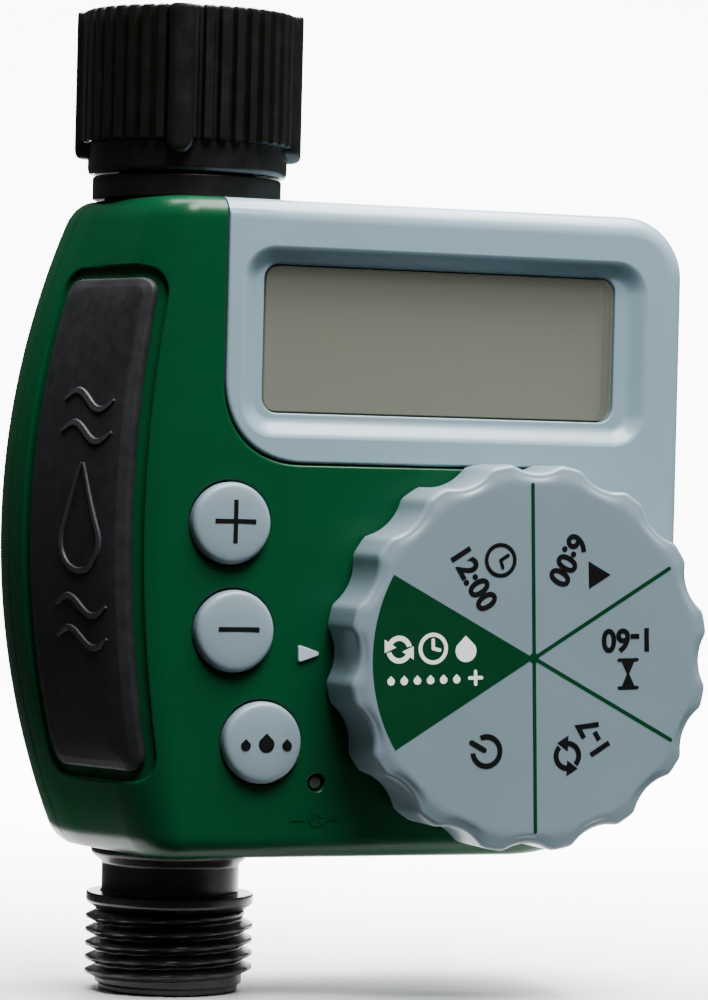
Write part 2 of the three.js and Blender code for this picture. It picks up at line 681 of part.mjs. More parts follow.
function inletFilter() {
  const cup = turned([
    [9, -4.4], [9, -3.6], [6.6, -3.6], [6.2, -14.4], [0, -17], [0, -18], [7, -15], [7.5, -4.4],
  ]);
  const slots = Array.from({ length: 8 }, (_, i) => {
    const slot = new THREE.BoxGeometry(6, 1.6, 8).translate(7, 0, -9.6);
    return solidOf(slot.rotateZ((Math.PI * (i + 0.5)) / 4));
  });
  return cut(cup, ...slots);
}

function retainingRing() {
  const band = ring("z", 13.1, 10.2, -8.8, -7.4, 0, 0, 24);
  return band.subtract(box(8, 15, -2, 2, -10, -6));
}

const oRing = (radius, z) =>
  solidOf(new THREE.TorusGeometry(radius, 0.9, 4, 20).translate(0, 0, z));

// ---- Swivel nut ----
function ribShape() {
  const points = [];
  for (let i = 0; i < RIBS; i++) {
    for (const [share, r] of RIB_SECTION) {
      const angle = (2 * Math.PI * (i + share)) / RIBS;
      points.push([r * Math.cos(angle), r * Math.sin(angle)]);
    }
  }
  return polygon(points);
}

function nutLug(index) {
  const face = new THREE.Shape();
  face.moveTo(-LUG_HALF, NUT_TOP).lineTo(-LUG_HALF, NUT_LUG_LOW + LUG_HALF);
  face.absarc(0, NUT_LUG_LOW + LUG_HALF, LUG_HALF, Math.PI, 2 * Math.PI);
  face.lineTo(LUG_HALF, NUT_TOP);
  const lug = new THREE.ExtrudeGeometry(face, {
    depth: LUG_R - NUT_R - 0.7,
    curveSegments: 3,
    bevelThickness: 1.2,
    bevelSize: 1.2,
    bevelOffset: -1.2,
    bevelSegments: 1,
  });
  lug.rotateX(Math.PI / 2).rotateZ(Math.PI / 2).translate(NUT_R - 0.5, 0, 0);
  return lug.rotateZ(THREE.MathUtils.degToRad(LUG_ANGLE + 90 * index));
}

function swivelNut() {
  const ribs = new THREE.ExtrudeGeometry(ribShape(), {
    depth: NUT_TOP - NUT_RIB_LOW,
    bevelEnabled: false,
  });
  const collarTop = NUT_TOP - 0.6;
  const collar = turned([
    [0, NUT_LOW], [NUT_R - 0.7, NUT_LOW], [NUT_R, NUT_LOW + 0.7], [NUT_R, collarTop], [0, collarTop],
  ]);
  const bore = THREAD_R + 0.25;
  const socket = turned([
    [0, NUT_TOP + 1], [bore + 1, NUT_TOP + 1], [bore, NUT_TOP - 0.9], [bore, NUT_RIB_LOW - 0.4],
    [11.4, NUT_RIB_LOW - 0.4], [11.4, NUT_LOW - 1], [0, NUT_LOW - 1],
  ]);
  const lugs = [0, 1, 2, 3].map((index) => solidOf(nutLug(index)));
  return cut(
    union(collar, solidOf(ribs.translate(0, 0, NUT_RIB_LOW)), ...lugs),
    socket,
  ).add(threadRidge(bore, NUT_THREAD_R, 1.6, 3.6, 12));
}

// ---- Battery bay ----
function batteryBox() {
  const { x0, x1, y0, y1, z0, z1 } = BAY;
  return box(x0, x1, y0, y1, z0, z1).subtract(
    box(x0 + 1.2, x1 - 1.2, y0 + 1.2, y1 + 1, z0 + 1.2, z1 - 1.2),
  );
}

// A cell with its button end up (way 1) or down (way -1).
function batteryCell(x, way) {
  const cell = bar("z", CELL_R, 0, 49.2, 0, 0, 24).add(bar("z", 2.7, 49, 50.5));
  if (way < 0) return cell.rotate([180, 0, 0]).translate([x, CELL_Y, BAY.z1 - CELL_LIFT]);
  return cell.translate([x, CELL_Y, BAY.z0 + CELL_LIFT]);
}

function batterySpring(x, way) {
  const wallZ = way > 0 ? BAY.z0 : BAY.z1;
  return coilSpring("z", wallZ + 2 * way, wallZ + (CELL_LIFT - 0.8) * way, 3.4, 0.4, 3, x, CELL_Y);
}

const contactPlate = (x, z) => box(x - 5.5, x + 5.5, CELL_Y - 5.5, CELL_Y + 5.5, z, z + 0.4);

function batteryDoor() {
  const { x0, x1, z0, z1 } = BAY;
  const [low, high] = [z0 - 0.4, z1 + 0.4];
  const plate = alongY(roundedRect(x0 - 0.4, x1 + 0.4, low, high, 1.8), REAR - WALL, REAR);
  const knuckles = KNUCKLES.map(([from, to]) =>
    union(
      bar("z", 1.75, from, to, HINGE.x, HINGE.y),
      box(HINGE.x, x0 + 1, REAR - WALL, REAR, from, to),
    ),
  );
  const grips = [0, 1, 2].map((i) =>
    box(x1 - 4.5 + 1.4 * i, x1 - 3.8 + 1.4 * i, REAR - 0.6, REAR + 1, -78, -67),
  );
  return cut(
    union(plate, ...knuckles),
    bar("z", 1.1, z0 - 1, z1 + 1, HINGE.x, HINGE.y, 8),
    ...grips,
  );
}

const doorPin = () => bar("z", 0.8, BAY.z0 - 0.6, BAY.z1 + 0.6, HINGE.x, HINGE.y, 8);

function batteryGasket() {
  const { x0, x1, z0, z1 } = BAY;
  const outside = roundedRect(x0 + 1.6, x1 - 1.6, z0 + 1.6, z1 - 1.6, 1.5);
  const inside = roundedRect(x0 + 2.8, x1 - 2.8, z0 + 2.8, z1 - 2.8, 1);
  return alongY(outside, 15.4, REAR - WALL - GAP).subtract(alongY(inside, 10, 20));
}

// ---- Fasteners ----
function panScrew(x, z, headY, length, headR, shankR) {
  const head = bar("y", headR, headY, headY + 1.7, x, z);
  return head.add(bar("y", shankR, headY - length, headY + 0.1, x, z, 8));
}

const caseScrew = ([x, z]) => panScrew(x, z, SCREW_SEAT_Y + GAP, 21, 2.5, 1.25);
const boardScrew = ([x, z]) => panScrew(x, z, BOARD.y1 + GAP, 6.5, 2.2, 1);

// A list of alike solids as pieces named name_1, name_2 and so on.
const numbered = (name, solids, color) =>
  solids.map((solid, i) => [`${name}_${i + 1}`, solid, color()]);

const PIECES = [
  ["front_shell", frontShell(), COLORS.green()],
  ["rear_shell", rearShell(), COLORS.green()],
  ["display_bezel", displayBezel(), COLORS.grey()],
  ["display_lens", displayLens(), COLORS.lens()],
  ["lcd_holder", lcdHolder(), COLORS.rubber()],
  ["lcd_panel", lcdPanel(), COLORS.lcd()],
  ["zebra_strip", zebraStrip(), COLORS.rubber()],
  ["side_panel", sidePanel(), COLORS.charcoal()],
  ["pointer_mark", pointerMark(), COLORS.grey()],
  ["circuit_board", circuitBoard(), COLORS.board()],
  ["controller_chip", box(26, 38, BOARD.y1 + GAP, -12.3, -94, -82), COLORS.rubber()],
  ["storage_capacitor", bar("z", 3.8, -92, -80, 54, -9.5, 24), COLORS.cell()],
  ["quartz_crystal", bar("z", 1.3, -104, -97, 24, -12.2, 12), COLORS.steel()],
  ["keypad_mat", keypadMat(), COLORS.rubber()],
  ["reset_switch", resetSwitch(), COLORS.rubber()],
  ...Object.entries(BUTTONS).map(([name, place]) => [name, button(place), COLORS.grey()]),
  ["reset_pin", resetPin(), COLORS.white()],
  ["dial", dial(), COLORS.grey()],
  ["dial_rotor", dialRotor(), COLORS.white()],
  ["dial_screw", dialScrew(), COLORS.steel()],
  ["dial_wiper", dialWiper(), COLORS.copper()],
  ["detent_spring", detentSpring(), COLORS.steel()],
  ["valve_body", valveBody(), COLORS.black()],
  ["diaphragm", diaphragm(), COLORS.rubber()],
  ["diaphragm_cover", diaphragmCover(), COLORS.black()],
  ...numbered("valve_screw", valveScrewPlaces().map(valveScrew), COLORS.steel),
  ["solenoid_coil", solenoidCoil(), COLORS.copper()],
  ["solenoid_yoke", solenoidYoke(), COLORS.steel()],
  ["solenoid_plunger", solenoidPlunger(), COLORS.steel()],
  [
    "plunger_spring",
    coilSpring("x", PLUNGER_END - 2, GUIDE_END - 1.8, 1, 0.25, 4, 0, VALVE_Z),
    COLORS.steel(),
  ],
  ["inlet_washer", inletWasher(), COLORS.rubber()],
  ["inlet_filter", inletFilter(), COLORS.white()],
  ["nut_retaining_ring", retainingRing(), COLORS.steel()],
  ["inlet_o_ring", oRing(SHOULDER_R + 1.2, TOP - 3.4), COLORS.rubber()],
  ["outlet_o_ring", oRing(NECK_R + 1.2, BOTTOM + 3.4), COLORS.rubber()],
  ["swivel_nut", swivelNut(), COLORS.black()],
  ["battery_box", batteryBox(), COLORS.rubber()],
  ...numbered("battery_cell", CELL_X.map((x, i) => batteryCell(x, CELL_WAY[i])), COLORS.cell),
  ...numbered("battery_spring", CELL_X.map((x, i) => batterySpring(x, CELL_WAY[i])), COLORS.steel),
  ["battery_contact_low", contactPlate(CELL_X[1], BAY.z0 + 1.6), COLORS.steel()],
  ["battery_contact_high", contactPlate(CELL_X[0], BAY.z1 - 2), COLORS.steel()],
  ["battery_gasket", batteryGasket(), COLORS.rubber()],
  ["battery_door", batteryDoor(), COLORS.green()],
  ["battery_door_pin", doorPin(), COLORS.steel()],
  ...numbered("case_screw", CASE_SCREWS.map(caseScrew), COLORS.steel),
  ...numbered("board_screw", BOARD_SCREWS.map(boardScrew), COLORS.steel),
];

const timer = new THREE.Group();
for (const [name, solid, material] of PIECES) {
  const mesh = new THREE.Mesh(geometryOf(solid), material);
  mesh.name = name;
  timer.add(mesh);
}

export default timer;
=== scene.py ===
"""Looks of a hose-tap irrigation timer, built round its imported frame.

Shapes are worked out in millimetres in the frame's own axes (X right, -Y front, +Z up, the water axis at
X = Y = 0), and become metres when a mesh is made."""

import json
from math import atan2, copysign, cos, pi, radians, sin, sqrt, tan

import bmesh
import bpy
import numpy as np
from mathutils import Matrix, Vector


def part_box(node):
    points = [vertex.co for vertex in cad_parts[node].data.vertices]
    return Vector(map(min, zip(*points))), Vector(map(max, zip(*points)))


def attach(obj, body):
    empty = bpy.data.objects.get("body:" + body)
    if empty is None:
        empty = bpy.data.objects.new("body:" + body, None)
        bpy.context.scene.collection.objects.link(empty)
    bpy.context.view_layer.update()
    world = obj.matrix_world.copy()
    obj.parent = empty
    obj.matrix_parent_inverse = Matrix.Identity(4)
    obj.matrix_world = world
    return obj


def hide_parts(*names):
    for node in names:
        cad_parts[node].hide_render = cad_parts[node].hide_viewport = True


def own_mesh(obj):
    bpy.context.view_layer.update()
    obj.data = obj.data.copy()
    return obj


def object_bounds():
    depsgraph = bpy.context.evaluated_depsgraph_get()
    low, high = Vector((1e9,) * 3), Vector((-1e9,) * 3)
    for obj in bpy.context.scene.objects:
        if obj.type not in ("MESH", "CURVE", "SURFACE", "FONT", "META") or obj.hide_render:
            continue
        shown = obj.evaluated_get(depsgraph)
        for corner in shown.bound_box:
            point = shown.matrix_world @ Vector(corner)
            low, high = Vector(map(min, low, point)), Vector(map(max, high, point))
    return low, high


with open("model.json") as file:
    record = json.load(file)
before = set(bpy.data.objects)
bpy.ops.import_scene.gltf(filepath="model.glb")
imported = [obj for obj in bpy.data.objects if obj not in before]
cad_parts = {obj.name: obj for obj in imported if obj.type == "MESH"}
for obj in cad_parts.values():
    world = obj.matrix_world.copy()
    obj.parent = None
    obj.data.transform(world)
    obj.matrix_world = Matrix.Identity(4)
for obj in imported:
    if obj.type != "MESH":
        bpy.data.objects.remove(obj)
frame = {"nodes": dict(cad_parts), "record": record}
CAD_LOW, CAD_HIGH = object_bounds()
MM = 0.001
MICRON = 0.000001
TURN = 2 * pi
QUARTER = pi / 2


def box_mm(node):
    low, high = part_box(node)
    return low / MM, high / MM


# ---- Sizes taken from the frame ----
REAR_LOW, REAR_HIGH = box_mm("rear_shell")
BEZEL_NEAR, BEZEL_FAR = box_mm("display_bezel")
FRONT = BEZEL_NEAR.y
REAR = REAR_HIGH.y
TOP = BEZEL_FAR.z
BOTTOM = REAR_LOW.z
RIGHT = REAR_HIGH.x
PART_FRONT = box_mm("front_shell")[1].y
PART_REAR = REAR_LOW.y
DIAL_LOW, DIAL_HIGH = box_mm("dial")
DIAL_X = (DIAL_LOW.x + DIAL_HIGH.x) / 2
DIAL_Z = (DIAL_LOW.z + DIAL_HIGH.z) / 2

# ---- The housing's own sizes ----
GAP = 0.3
WALL = 2.2
EDGE_R = 3.5
TOP_CORNER_R = 10
LOW_CORNER_R = 28
BARREL_R = 124
BARREL_Z = -70.4
BARREL_X = 27.65
SIDE_ANGLE = radians(69.4)
SIDE_X = -17.75
SIDE_R = 11
SIDE_REAR_Y = 5
SIDE_INNER_X = 8  # the side's block ends here, inside the flat one
SHOULDER_X = -26
SHOULDER_Y = -3
SHOULDER_PULL_Y = 1.4  # pulls the curve that runs from the shoulder to the widest part
FLAT_LEFT = -2
LIP = 0.45  # rounding of the edges where pieces meet

BEZEL_LEFT = -1.5
BEZEL_LOW = -59.2
BEZEL_BACK = BEZEL_FAR.y
BEZEL_ARC_R = 30
BEZEL_ARC_FROM = 0.445 * pi
BEZEL_ARC_TO = 0.14 * pi
BEZEL_CORNER = 13
BEZEL_CORNER_PULL = 5


# ---- Mesh tools ----
SAME_POINT = 0.0001
HAIR = 0.001  # keeps a cutting tool's face just off the face that it cuts
ROOM_X = (-90, 130)  # well past the case on every side
ROOM_Y = (-60, 60)
ROOM_Z = (-220, 90)


def new_object(name, points, faces):
    mesh = bpy.data.meshes.new(name)
    mesh.from_pydata([[c * MM for c in p] for p in points], [], faces)
    work = bmesh.new()
    work.from_mesh(mesh)
    bmesh.ops.remove_doubles(work, verts=work.verts, dist=SAME_POINT * MM)
    bmesh.ops.recalc_face_normals(work, faces=work.faces)
    work.to_mesh(mesh)
    work.free()
    obj = bpy.data.objects.new(name, mesh)
    bpy.context.scene.collection.objects.link(obj)
    return obj


def loft(name, rings, caps=True):
    """A closed body through rings of equally many points; without caps its end rings close on a line."""
    count = len(rings[0])
    points = [p for ring in rings for p in ring]
    faces = []
    for a in range(len(rings) - 1):
        for i in range(count):
            j = (i + 1) % count
            faces.append((a * count + i, a * count + j, (a + 1) * count + j, (a + 1) * count + i))
    if caps:
        faces.append(tuple(reversed(range(count))))
        faces.append(tuple((len(rings) - 1) * count + i for i in range(count)))
    return new_object(name, points, faces)


def combine(base, tools, operation):
    for tool in tools:
        step = base.modifiers.new("combine", "BOOLEAN")
        step.operation = operation
        step.solver = "MANIFOLD"
        step.object = tool
    graph = bpy.context.evaluated_depsgraph_get()
    made = bpy.data.meshes.new_from_object(base.evaluated_get(graph))
    base.modifiers.clear()
    base.data = made
    for tool in tools:
        bpy.data.objects.remove(tool)
    return base


def cut(base, *tools):
    return combine(base, tools, "DIFFERENCE")


def join(base, *tools):
    return combine(base, tools, "UNION")


def keep(base, *tools):
    return combine(base, tools, "INTERSECT")


def smooth(obj, degrees):
    obj.data.shade_smooth()
    obj.data.set_sharp_from_angle(angle=radians(degrees))


def finished(obj, name, material, body, *replaced, angle=32, weighted=True):
    """Names, shades and paints a new piece, ties it to its body and hides the nodes that it stands for."""
    obj.name = name
    obj.data.name = name
    obj.data.materials.clear()
    obj.data.materials.append(material)
    smooth(obj, angle)
    if weighted:
        even = obj.modifiers.new("even normals", "WEIGHTED_NORMAL")
        even.keep_sharp = True
    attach(obj, body)
    if replaced:
        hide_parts(*replaced)
    return obj


# ---- Outlines ----
def arc(cx, cy, radius, start, end, steps):
    angles = np.linspace(start, end, steps + 1)
    return [(cx + radius * cos(a), cy + radius * sin(a)) for a in angles]


def quadratic(a, b, c, steps):
    """Points after `a` on the curve from a to c that b pulls."""
    found = []
    for t in np.linspace(0, 1, steps + 1)[1:]:
        found.append(tuple((1 - t) ** 2 * a[k] + 2 * t * (1 - t) * b[k] + t * t * c[k] for k in (0, 1)))
    return found


def rounded_box(x0, x1, z0, z1, radius, grow=0, steps=8):
    x0, x1, z0, z1 = x0 - grow, x1 + grow, z0 - grow, z1 + grow
    r = max(radius + grow, 0.05)
    return (
        arc(x1 - r, z0 + r, r, -QUARTER, 0, steps)
        + arc(x1 - r, z1 - r, r, 0, QUARTER, steps)
        + arc(x0 + r, z1 - r, r, QUARTER, 2 * QUARTER, steps)
        + arc(x0 + r, z0 + r, r, 2 * QUARTER, 3 * QUARTER, steps)
    )


def rounding(start, radius, inward, steps=6):
    """[place, grow] stations of a quarter-round edge that begins at `start` and runs `inward` (1 or -1)."""
    found = []
    for k in range(steps + 1):
        turn = k / steps * QUARTER
        found.append((start + inward * radius * (1 - cos(turn)), -radius * (1 - sin(turn))))
    return found


def flare(mouth, radius, steps=5):
    """[place, grow] stations that round the edge of an opening, from its mouth inward."""
    return [(place, -grow) for place, grow in rounding(mouth - HAIR, radius, 1, steps)]


def along_y(name, shape, stations):
    """A body whose section in X and Z is shape(grow) at each [y, grow] station."""
    return loft(name, [[(x, y, z) for x, z in shape(grow)] for y, grow in stations])


def slab_y(shape, y0, y1, front=0.0, back=0.0):
    ends = rounding(y0, front, 1) if front else [(y0, 0)]
    ends += reversed(rounding(y1, back, -1)) if back else [(y1, 0)]
    return along_y("slab", shape, ends)


def box(x0, x1, y0, y1, z0, z1):
    corners = [(x0, z0), (x1, z0), (x1, z1), (x0, z1)]
    return loft("box", [[(x, y, z) for x, z in corners] for y in (y0, y1)])


def turned(profile, sides=96, axis="z", at=(0, 0, 0)):
    """A body turned about an axis through `at`, from a profile of [radius, place along the axis] points."""
    rings = []
    for radius, place in profile:
        ring = []
        for i in range(sides):
            u = radius * cos(TURN * i / sides)
            v = radius * sin(TURN * i / sides)
            local = {"x": (place, u, v), "y": (u, place, v), "z": (u, v, place)}[axis]
            ring.append(tuple(local[k] + at[k] for k in range(3)))
        rings.append(ring)
    return loft("turned", rings)


def bar(axis, radius, start, end, at, sides=48):
    return turned([(radius, start), (radius, end)], sides, axis, at)


def upright(radius, low, high):
    """A round bar on the water axis."""
    return bar("z", radius, low, high, (0, 0, 0), 72)


def hole(x, z, radius, lip=LIP):
    """A tool that drills a round hole back through the front face and rounds its edge."""
    profile = [(radius + lip, FRONT - 3)]
    profile += [(radius + grow, place) for place, grow in flare(FRONT, lip)]
    profile.append((radius, FRONT + 6))
    return turned(profile, 64, "y", (x, 0, z))


# ---- Housing block ----
def barrel_scale(z):
    sag = BARREL_R - sqrt(BARREL_R**2 - (z - BARREL_Z) ** 2)
    return 1 - sag / BARREL_X


def side_section(grow):
    """The left side's section in X and Y at its widest height, from the front face round to the rear."""
    centre_x = SIDE_X + SIDE_R * tan(SIDE_ANGLE / 2)
    left = -BARREL_X - grow
    rear_r = REAR - SIDE_REAR_Y
    shoulder = (SHOULDER_X - grow * sin(SIDE_ANGLE), SHOULDER_Y - grow * cos(SIDE_ANGLE))
    points = [(SIDE_INNER_X, FRONT - grow)]
    points += arc(centre_x, FRONT + SIDE_R, SIDE_R + grow, -QUARTER, -QUARTER - SIDE_ANGLE, 16)
    points += [shoulder]
    points += quadratic(shoulder, (left, SHOULDER_PULL_Y), (left, SIDE_REAR_Y), 8)
    points += arc(-BARREL_X + rear_r, SIDE_REAR_Y, rear_r + grow, 2 * QUARTER, QUARTER, 16)[1:]
    return points + [(SIDE_INNER_X, REAR + grow)]


def side_block(grow):
    radius = EDGE_R + min(grow, 0)
    low, high = BOTTOM - grow, TOP + grow
    stations = rounding(low, radius, 1)
    stations += [(z, 0) for z in np.linspace(low + radius, high - radius, 38)[1:-1]]
    stations += reversed(rounding(high, radius, -1))
    rings = []
    for z, inset in stations:
        scale = barrel_scale(z)
        rings.append([(x * scale if x < 0 else x, y, z) for x, y in side_section(grow + inset)])
    return loft("side", rings)


def front_outline(grow):
    low = LOW_CORNER_R + grow
    high = TOP_CORNER_R + grow
    x1, z0, z1 = RIGHT + grow, BOTTOM - grow, TOP + grow
    points = [(FLAT_LEFT, z0)] + arc(x1 - low, z0 + low, low, -QUARTER, 0, 32)
    return points + arc(x1 - high, z1 - high, high, 0, QUARTER, 16) + [(FLAT_LEFT, z1)]


def block(grow):
    """The whole housing, with every surface moved out by `grow`."""
    radius = EDGE_R + min(grow, 0)
    flat = slab_y(lambda inset: front_outline(grow + inset), FRONT - grow, REAR + grow, radius, radius)
    return join(flat, side_block(grow))


def bezel_outline(grow):
    left, low, r = BEZEL_LEFT - grow, BEZEL_LOW - grow, BEZEL_ARC_R - grow
    corner = [(left, low + BEZEL_CORNER), (left, low + BEZEL_CORNER_PULL),
              (left + BEZEL_CORNER_PULL, low), (left + BEZEL_CORNER, low)]
    points = [(left, 0)]
    for t in np.linspace(0, 1, 17):
        shares = ((1 - t) ** 3, 3 * t * (1 - t) ** 2, 3 * t * t * (1 - t), t**3)
        points.append(tuple(sum(s * p[k] for s, p in zip(shares, corner)) for k in (0, 1)))
    points += arc(DIAL_X, DIAL_Z, r, BEZEL_ARC_FROM, BEZEL_ARC_TO, 32)
    beyond = ROOM_X[1] - 20
    return points + [(beyond, points[-1][1]), (beyond, 0)]


# ---- Side panel, drawn along the slanted side ----
PANEL_Z = (-107.4, -30.9)
PANEL_A = (-0.1, 21.4)  # from the front edge to the rear edge, along the slanted side
PANEL_BOW = 1.8
PANEL_R = 3
PANEL_LEAST_R = 1.2
PANEL_FRONT_TUCK = 0.2  # how far the bowed edges start inside the straight ones
PANEL_REAR_TUCK = 0.3
ALONG = np.array([-cos(SIDE_ANGLE), sin(SIDE_ANGLE)])
OUTWARD = np.array([-sin(SIDE_ANGLE), -cos(SIDE_ANGLE)])


def panel_outline(grow):
    low, high = PANEL_Z[0] - grow, PANEL_Z[1] + grow
    a, b = PANEL_A[0] - grow, PANEL_A[1] + grow
    middle = (low + high) / 2
    r = max(PANEL_R + grow, PANEL_LEAST_R)
    rear_low, rear_high = (b + PANEL_REAR_TUCK, low + r), (b + PANEL_REAR_TUCK, high - r)
    front_low, front_high = (a + PANEL_FRONT_TUCK, low + r), (a + PANEL_FRONT_TUCK, high - r)
    points = [(a + r, low), (b - r, low)]
    points += quadratic((b - r, low), (b, low), rear_low, 8)
    points += quadratic(rear_low, (b + 2 * PANEL_BOW, middle), rear_high, 36)
    points += quadratic(rear_high, (b, high), (b - r, high), 8)
    points += [(a + r, high)]
    points += quadratic((a + r, high), (a, high), front_high, 8)
    points += quadratic(front_high, (a + 1.4 * PANEL_BOW, middle), front_low, 36)
    return points + quadratic(front_low, (a, low), (a + r, low), 8)[:-1]


def side_point(a, z, height):
    """The point of the side surface moved out by `height`, at the place (a, z) of the panel's drawing."""
    scale = barrel_scale(min(max(z, BOTTOM), TOP))
    section = np.array(side_section(height))[:-1]
    section[:, 0] = np.where(section[:, 0] < 0, section[:, 0] * scale, section[:, 0])
    rel = section - np.array([SIDE_X, FRONT])
    across, out = rel @ ALONG, rel @ OUTWARD
    # the stretch of the section over which `across` keeps rising
    start = int(np.argmin(across[:12]))
    end = int(np.argmax(across[: start + 34])) + 1
    n = np.interp(a, across[start:end], out[start:end])
    x, y = np.array([SIDE_X, FRONT]) + ALONG * a + OUTWARD * n
    return (float(x), float(y), z)


def side_plug(stations):
    """A body on the side through panel outlines at [grow, height] stations; its ends close on a line."""
    spine_a = sum(PANEL_A) / 2 + PANEL_BOW / 2
    z_low, z_high = PANEL_Z[0] + 9, PANEL_Z[1] - 9

    def ring(grow, height, share):
        found = []
        for a, z in panel_outline(grow):
            to_z = min(max(z, z_low), z_high)
            found.append(side_point(a + (spine_a - a) * share, z + (to_z - z) * share, height))
        return found

    shares = np.linspace(0, 1, 8)
    first, last = stations[0], stations[-1]
    rings = [ring(first[0], first[1], s) for s in reversed(shares[1:])]
    rings += [ring(grow, height, 0) for grow, height in stations]
    rings += [ring(last[0], last[1], s) for s in shares[1:]]
    return loft("plug", rings, caps=False)


def side_ridge(path, widths, base, top):
    """A rounded ridge along a path of (a, z) points on the side, with a width for each point."""
    points = [np.array(p, float) for p in path]
    rings = []
    for i, p in enumerate(points):
        way = points[min(i + 1, len(points) - 1)] - points[max(i - 1, 0)]
        way /= np.linalg.norm(way)
        normal = np.array([-way[1], way[0]])
        half = widths[i] / 2
        section = [(-1, base), (-1, top * 0.45), (-0.7, top), (0.7, top), (1, top * 0.45), (1, base)]
        rings.append([side_point(*(p + normal * half * s), h) for s, h in section])
    return loft("ridge", rings)


# ---- Materials ----
def material_of(name, colour, roughness, metallic=0.0, specular=0.5, alpha=1.0):
    material = bpy.data.materials.new(name)
    material["slot"] = name
    material.use_nodes = True
    shader = material.node_tree.nodes["Principled BSDF"]
    shader.inputs["Base Color"].default_value = (*colour, 1)
    shader.inputs["Roughness"].default_value = roughness
    shader.inputs["Metallic"].default_value = metallic
    shader.inputs["Specular IOR Level"].default_value = specular
    shader.inputs["Alpha"].default_value = alpha
    return material


def noise(tree, scale, detail=3.0, stretch=None):
    """A noise texture over the object's own metres, with `scale` features a metre."""
    nodes, links = tree.nodes, tree.links
    place = nodes.new("ShaderNodeTexCoord")
    texture = nodes.new("ShaderNodeTexNoise")
    texture.inputs["Scale"].default_value = scale
    texture.inputs["Detail"].default_value = detail
    source = place.outputs["Object"]
    if stretch:
        mapping = nodes.new("ShaderNodeMapping")
        mapping.inputs["Scale"].default_value = stretch
        links.new(source, mapping.inputs["Vector"])
        source = mapping.outputs["Vector"]
    links.new(source, texture.inputs["Vector"])
    return texture.outputs["Fac"]


def mapped(tree, source, low, high, start=0.35, end=0.65):
    span = tree.nodes.new("ShaderNodeMapRange")
    for socket, value in zip(("From Min", "From Max", "To Min", "To Max"), (start, end, low, high)):
        span.inputs[socket].default_value = value
    tree.links.new(source, span.inputs["Value"])
    return span.outputs["Result"]


def tinted(tree, source, dark, light):
    ramp = tree.nodes.new("ShaderNodeValToRGB")
    for stop, place, colour in zip(ramp.color_ramp.elements, (0.3, 0.7), (dark, light)):
        stop.position = place
        stop.color = (*colour, 1)
    tree.links.new(source, ramp.inputs["Fac"])
    return ramp.outputs["Color"]


def bumped(tree, height, strength, distance, after=None):
    bump = tree.nodes.new("ShaderNodeBump")
    bump.inputs["Strength"].default_value = strength
    bump.inputs["Distance"].default_value = distance
    tree.links.new(height, bump.inputs["Height"])
    if after:
        tree.links.new(after, bump.inputs["Normal"])
    return bump.outputs["Normal"]


def plastic(name, colour, roughness, grain=1600, grain_um=20, spread=0.05, rough_spread=0.06,
            mottle=60, specular=0.5, wave_um=0):
    """Moulded plastic: slow colour and gloss variation, spark-eroded grain, and a little sink waviness."""
    material = material_of(name, colour, roughness, specular=specular)
    tree = material.node_tree
    shader = tree.nodes["Principled BSDF"]
    slow = noise(tree, mottle, 4)
    dark, light = np.outer((1 - spread, 1 + spread), colour)
    tree.links.new(tinted(tree, slow, dark, light), shader.inputs["Base Color"])
    scuff = noise(tree, mottle * 5, 5)
    tree.links.new(mapped(tree, scuff, roughness - rough_spread, roughness + rough_spread),
                   shader.inputs["Roughness"])
    normal = bumped(tree, noise(tree, grain, 2), 0.5, grain_um * MICRON)
    if wave_um:
        normal = bumped(tree, noise(tree, 35, 1), 0.4, wave_um * MICRON, normal)
    tree.links.new(normal, shader.inputs["Normal"])
    return material


def metal(name, colour, roughness, stretch=(1, 1, 14)):
    material = material_of(name, colour, roughness, metallic=1.0)
    tree = material.node_tree
    shader = tree.nodes["Principled BSDF"]
    brushed = noise(tree, 500, 4, stretch)
    tree.links.new(mapped(tree, brushed, roughness - 0.08, roughness + 0.12), shader.inputs["Roughness"])
    tree.links.new(bumped(tree, brushed, 0.25, 10 * MICRON), shader.inputs["Normal"])
    return material


EVEN = {"spread": 0.02, "rough_spread": 0.01}
INK = {"grain": 3000, "grain_um": 4}

GREEN = plastic("shell_green", (0.0002, 0.054, 0.0176), 0.3, grain=2600, grain_um=4, spread=0.03,
                rough_spread=0.015, specular=0.25, wave_um=20)
GREY = plastic("bezel_grey", (0.23, 0.337, 0.395), 0.3, grain=1900, grain_um=11, **EVEN)
CONTROL = plastic("control_grey", (0.205, 0.285, 0.33), 0.38, grain=2400, grain_um=6, **EVEN)
DIAL_GREY = plastic("dial_grey", (0.178, 0.245, 0.285), 0.32, grain=1900, grain_um=12, **EVEN)
DIAL_GREY["slot"] = "control_grey"
BLACK = plastic("fitting_black", (0.0045, 0.0049, 0.0036), 0.33, grain=1500, spread=0.1,
                rough_spread=0.05)
CHARCOAL = plastic("panel_charcoal", (0.010, 0.0105, 0.0125), 0.55, grain=1500, grain_um=40,
                   spread=0.12, rough_spread=0.08, mottle=90, specular=0.4)
RUBBER = plastic("rubber_black", (0.011, 0.011, 0.011), 0.8, grain=1200, grain_um=30, spread=0.15)
INNER_BLACK = plastic("plastic_black", (0.012, 0.012, 0.013), 0.5, grain=1400, spread=0.15)
WHITE = plastic("plastic_white", (0.68, 0.68, 0.66), 0.45, spread=0.03)
BOARD = plastic("board_green", (0.012, 0.09, 0.035), 0.4, grain=3000, spread=0.2, mottle=400)
WRAP = plastic("cell_wrap", (0.03, 0.035, 0.04), 0.3, grain=2600, grain_um=4, spread=0.1)
# The reset pin is coloured dark: painted shade of the deep hole it sits in.
PIN_PAINTED_SHADE = plastic("pin_painted_shade", (0.035, 0.05, 0.045), 0.5, spread=0.03)
POINTER = plastic("pointer_pale", (0.46, 0.55, 0.66), 0.4, grain=2400, grain_um=6, spread=0.02)
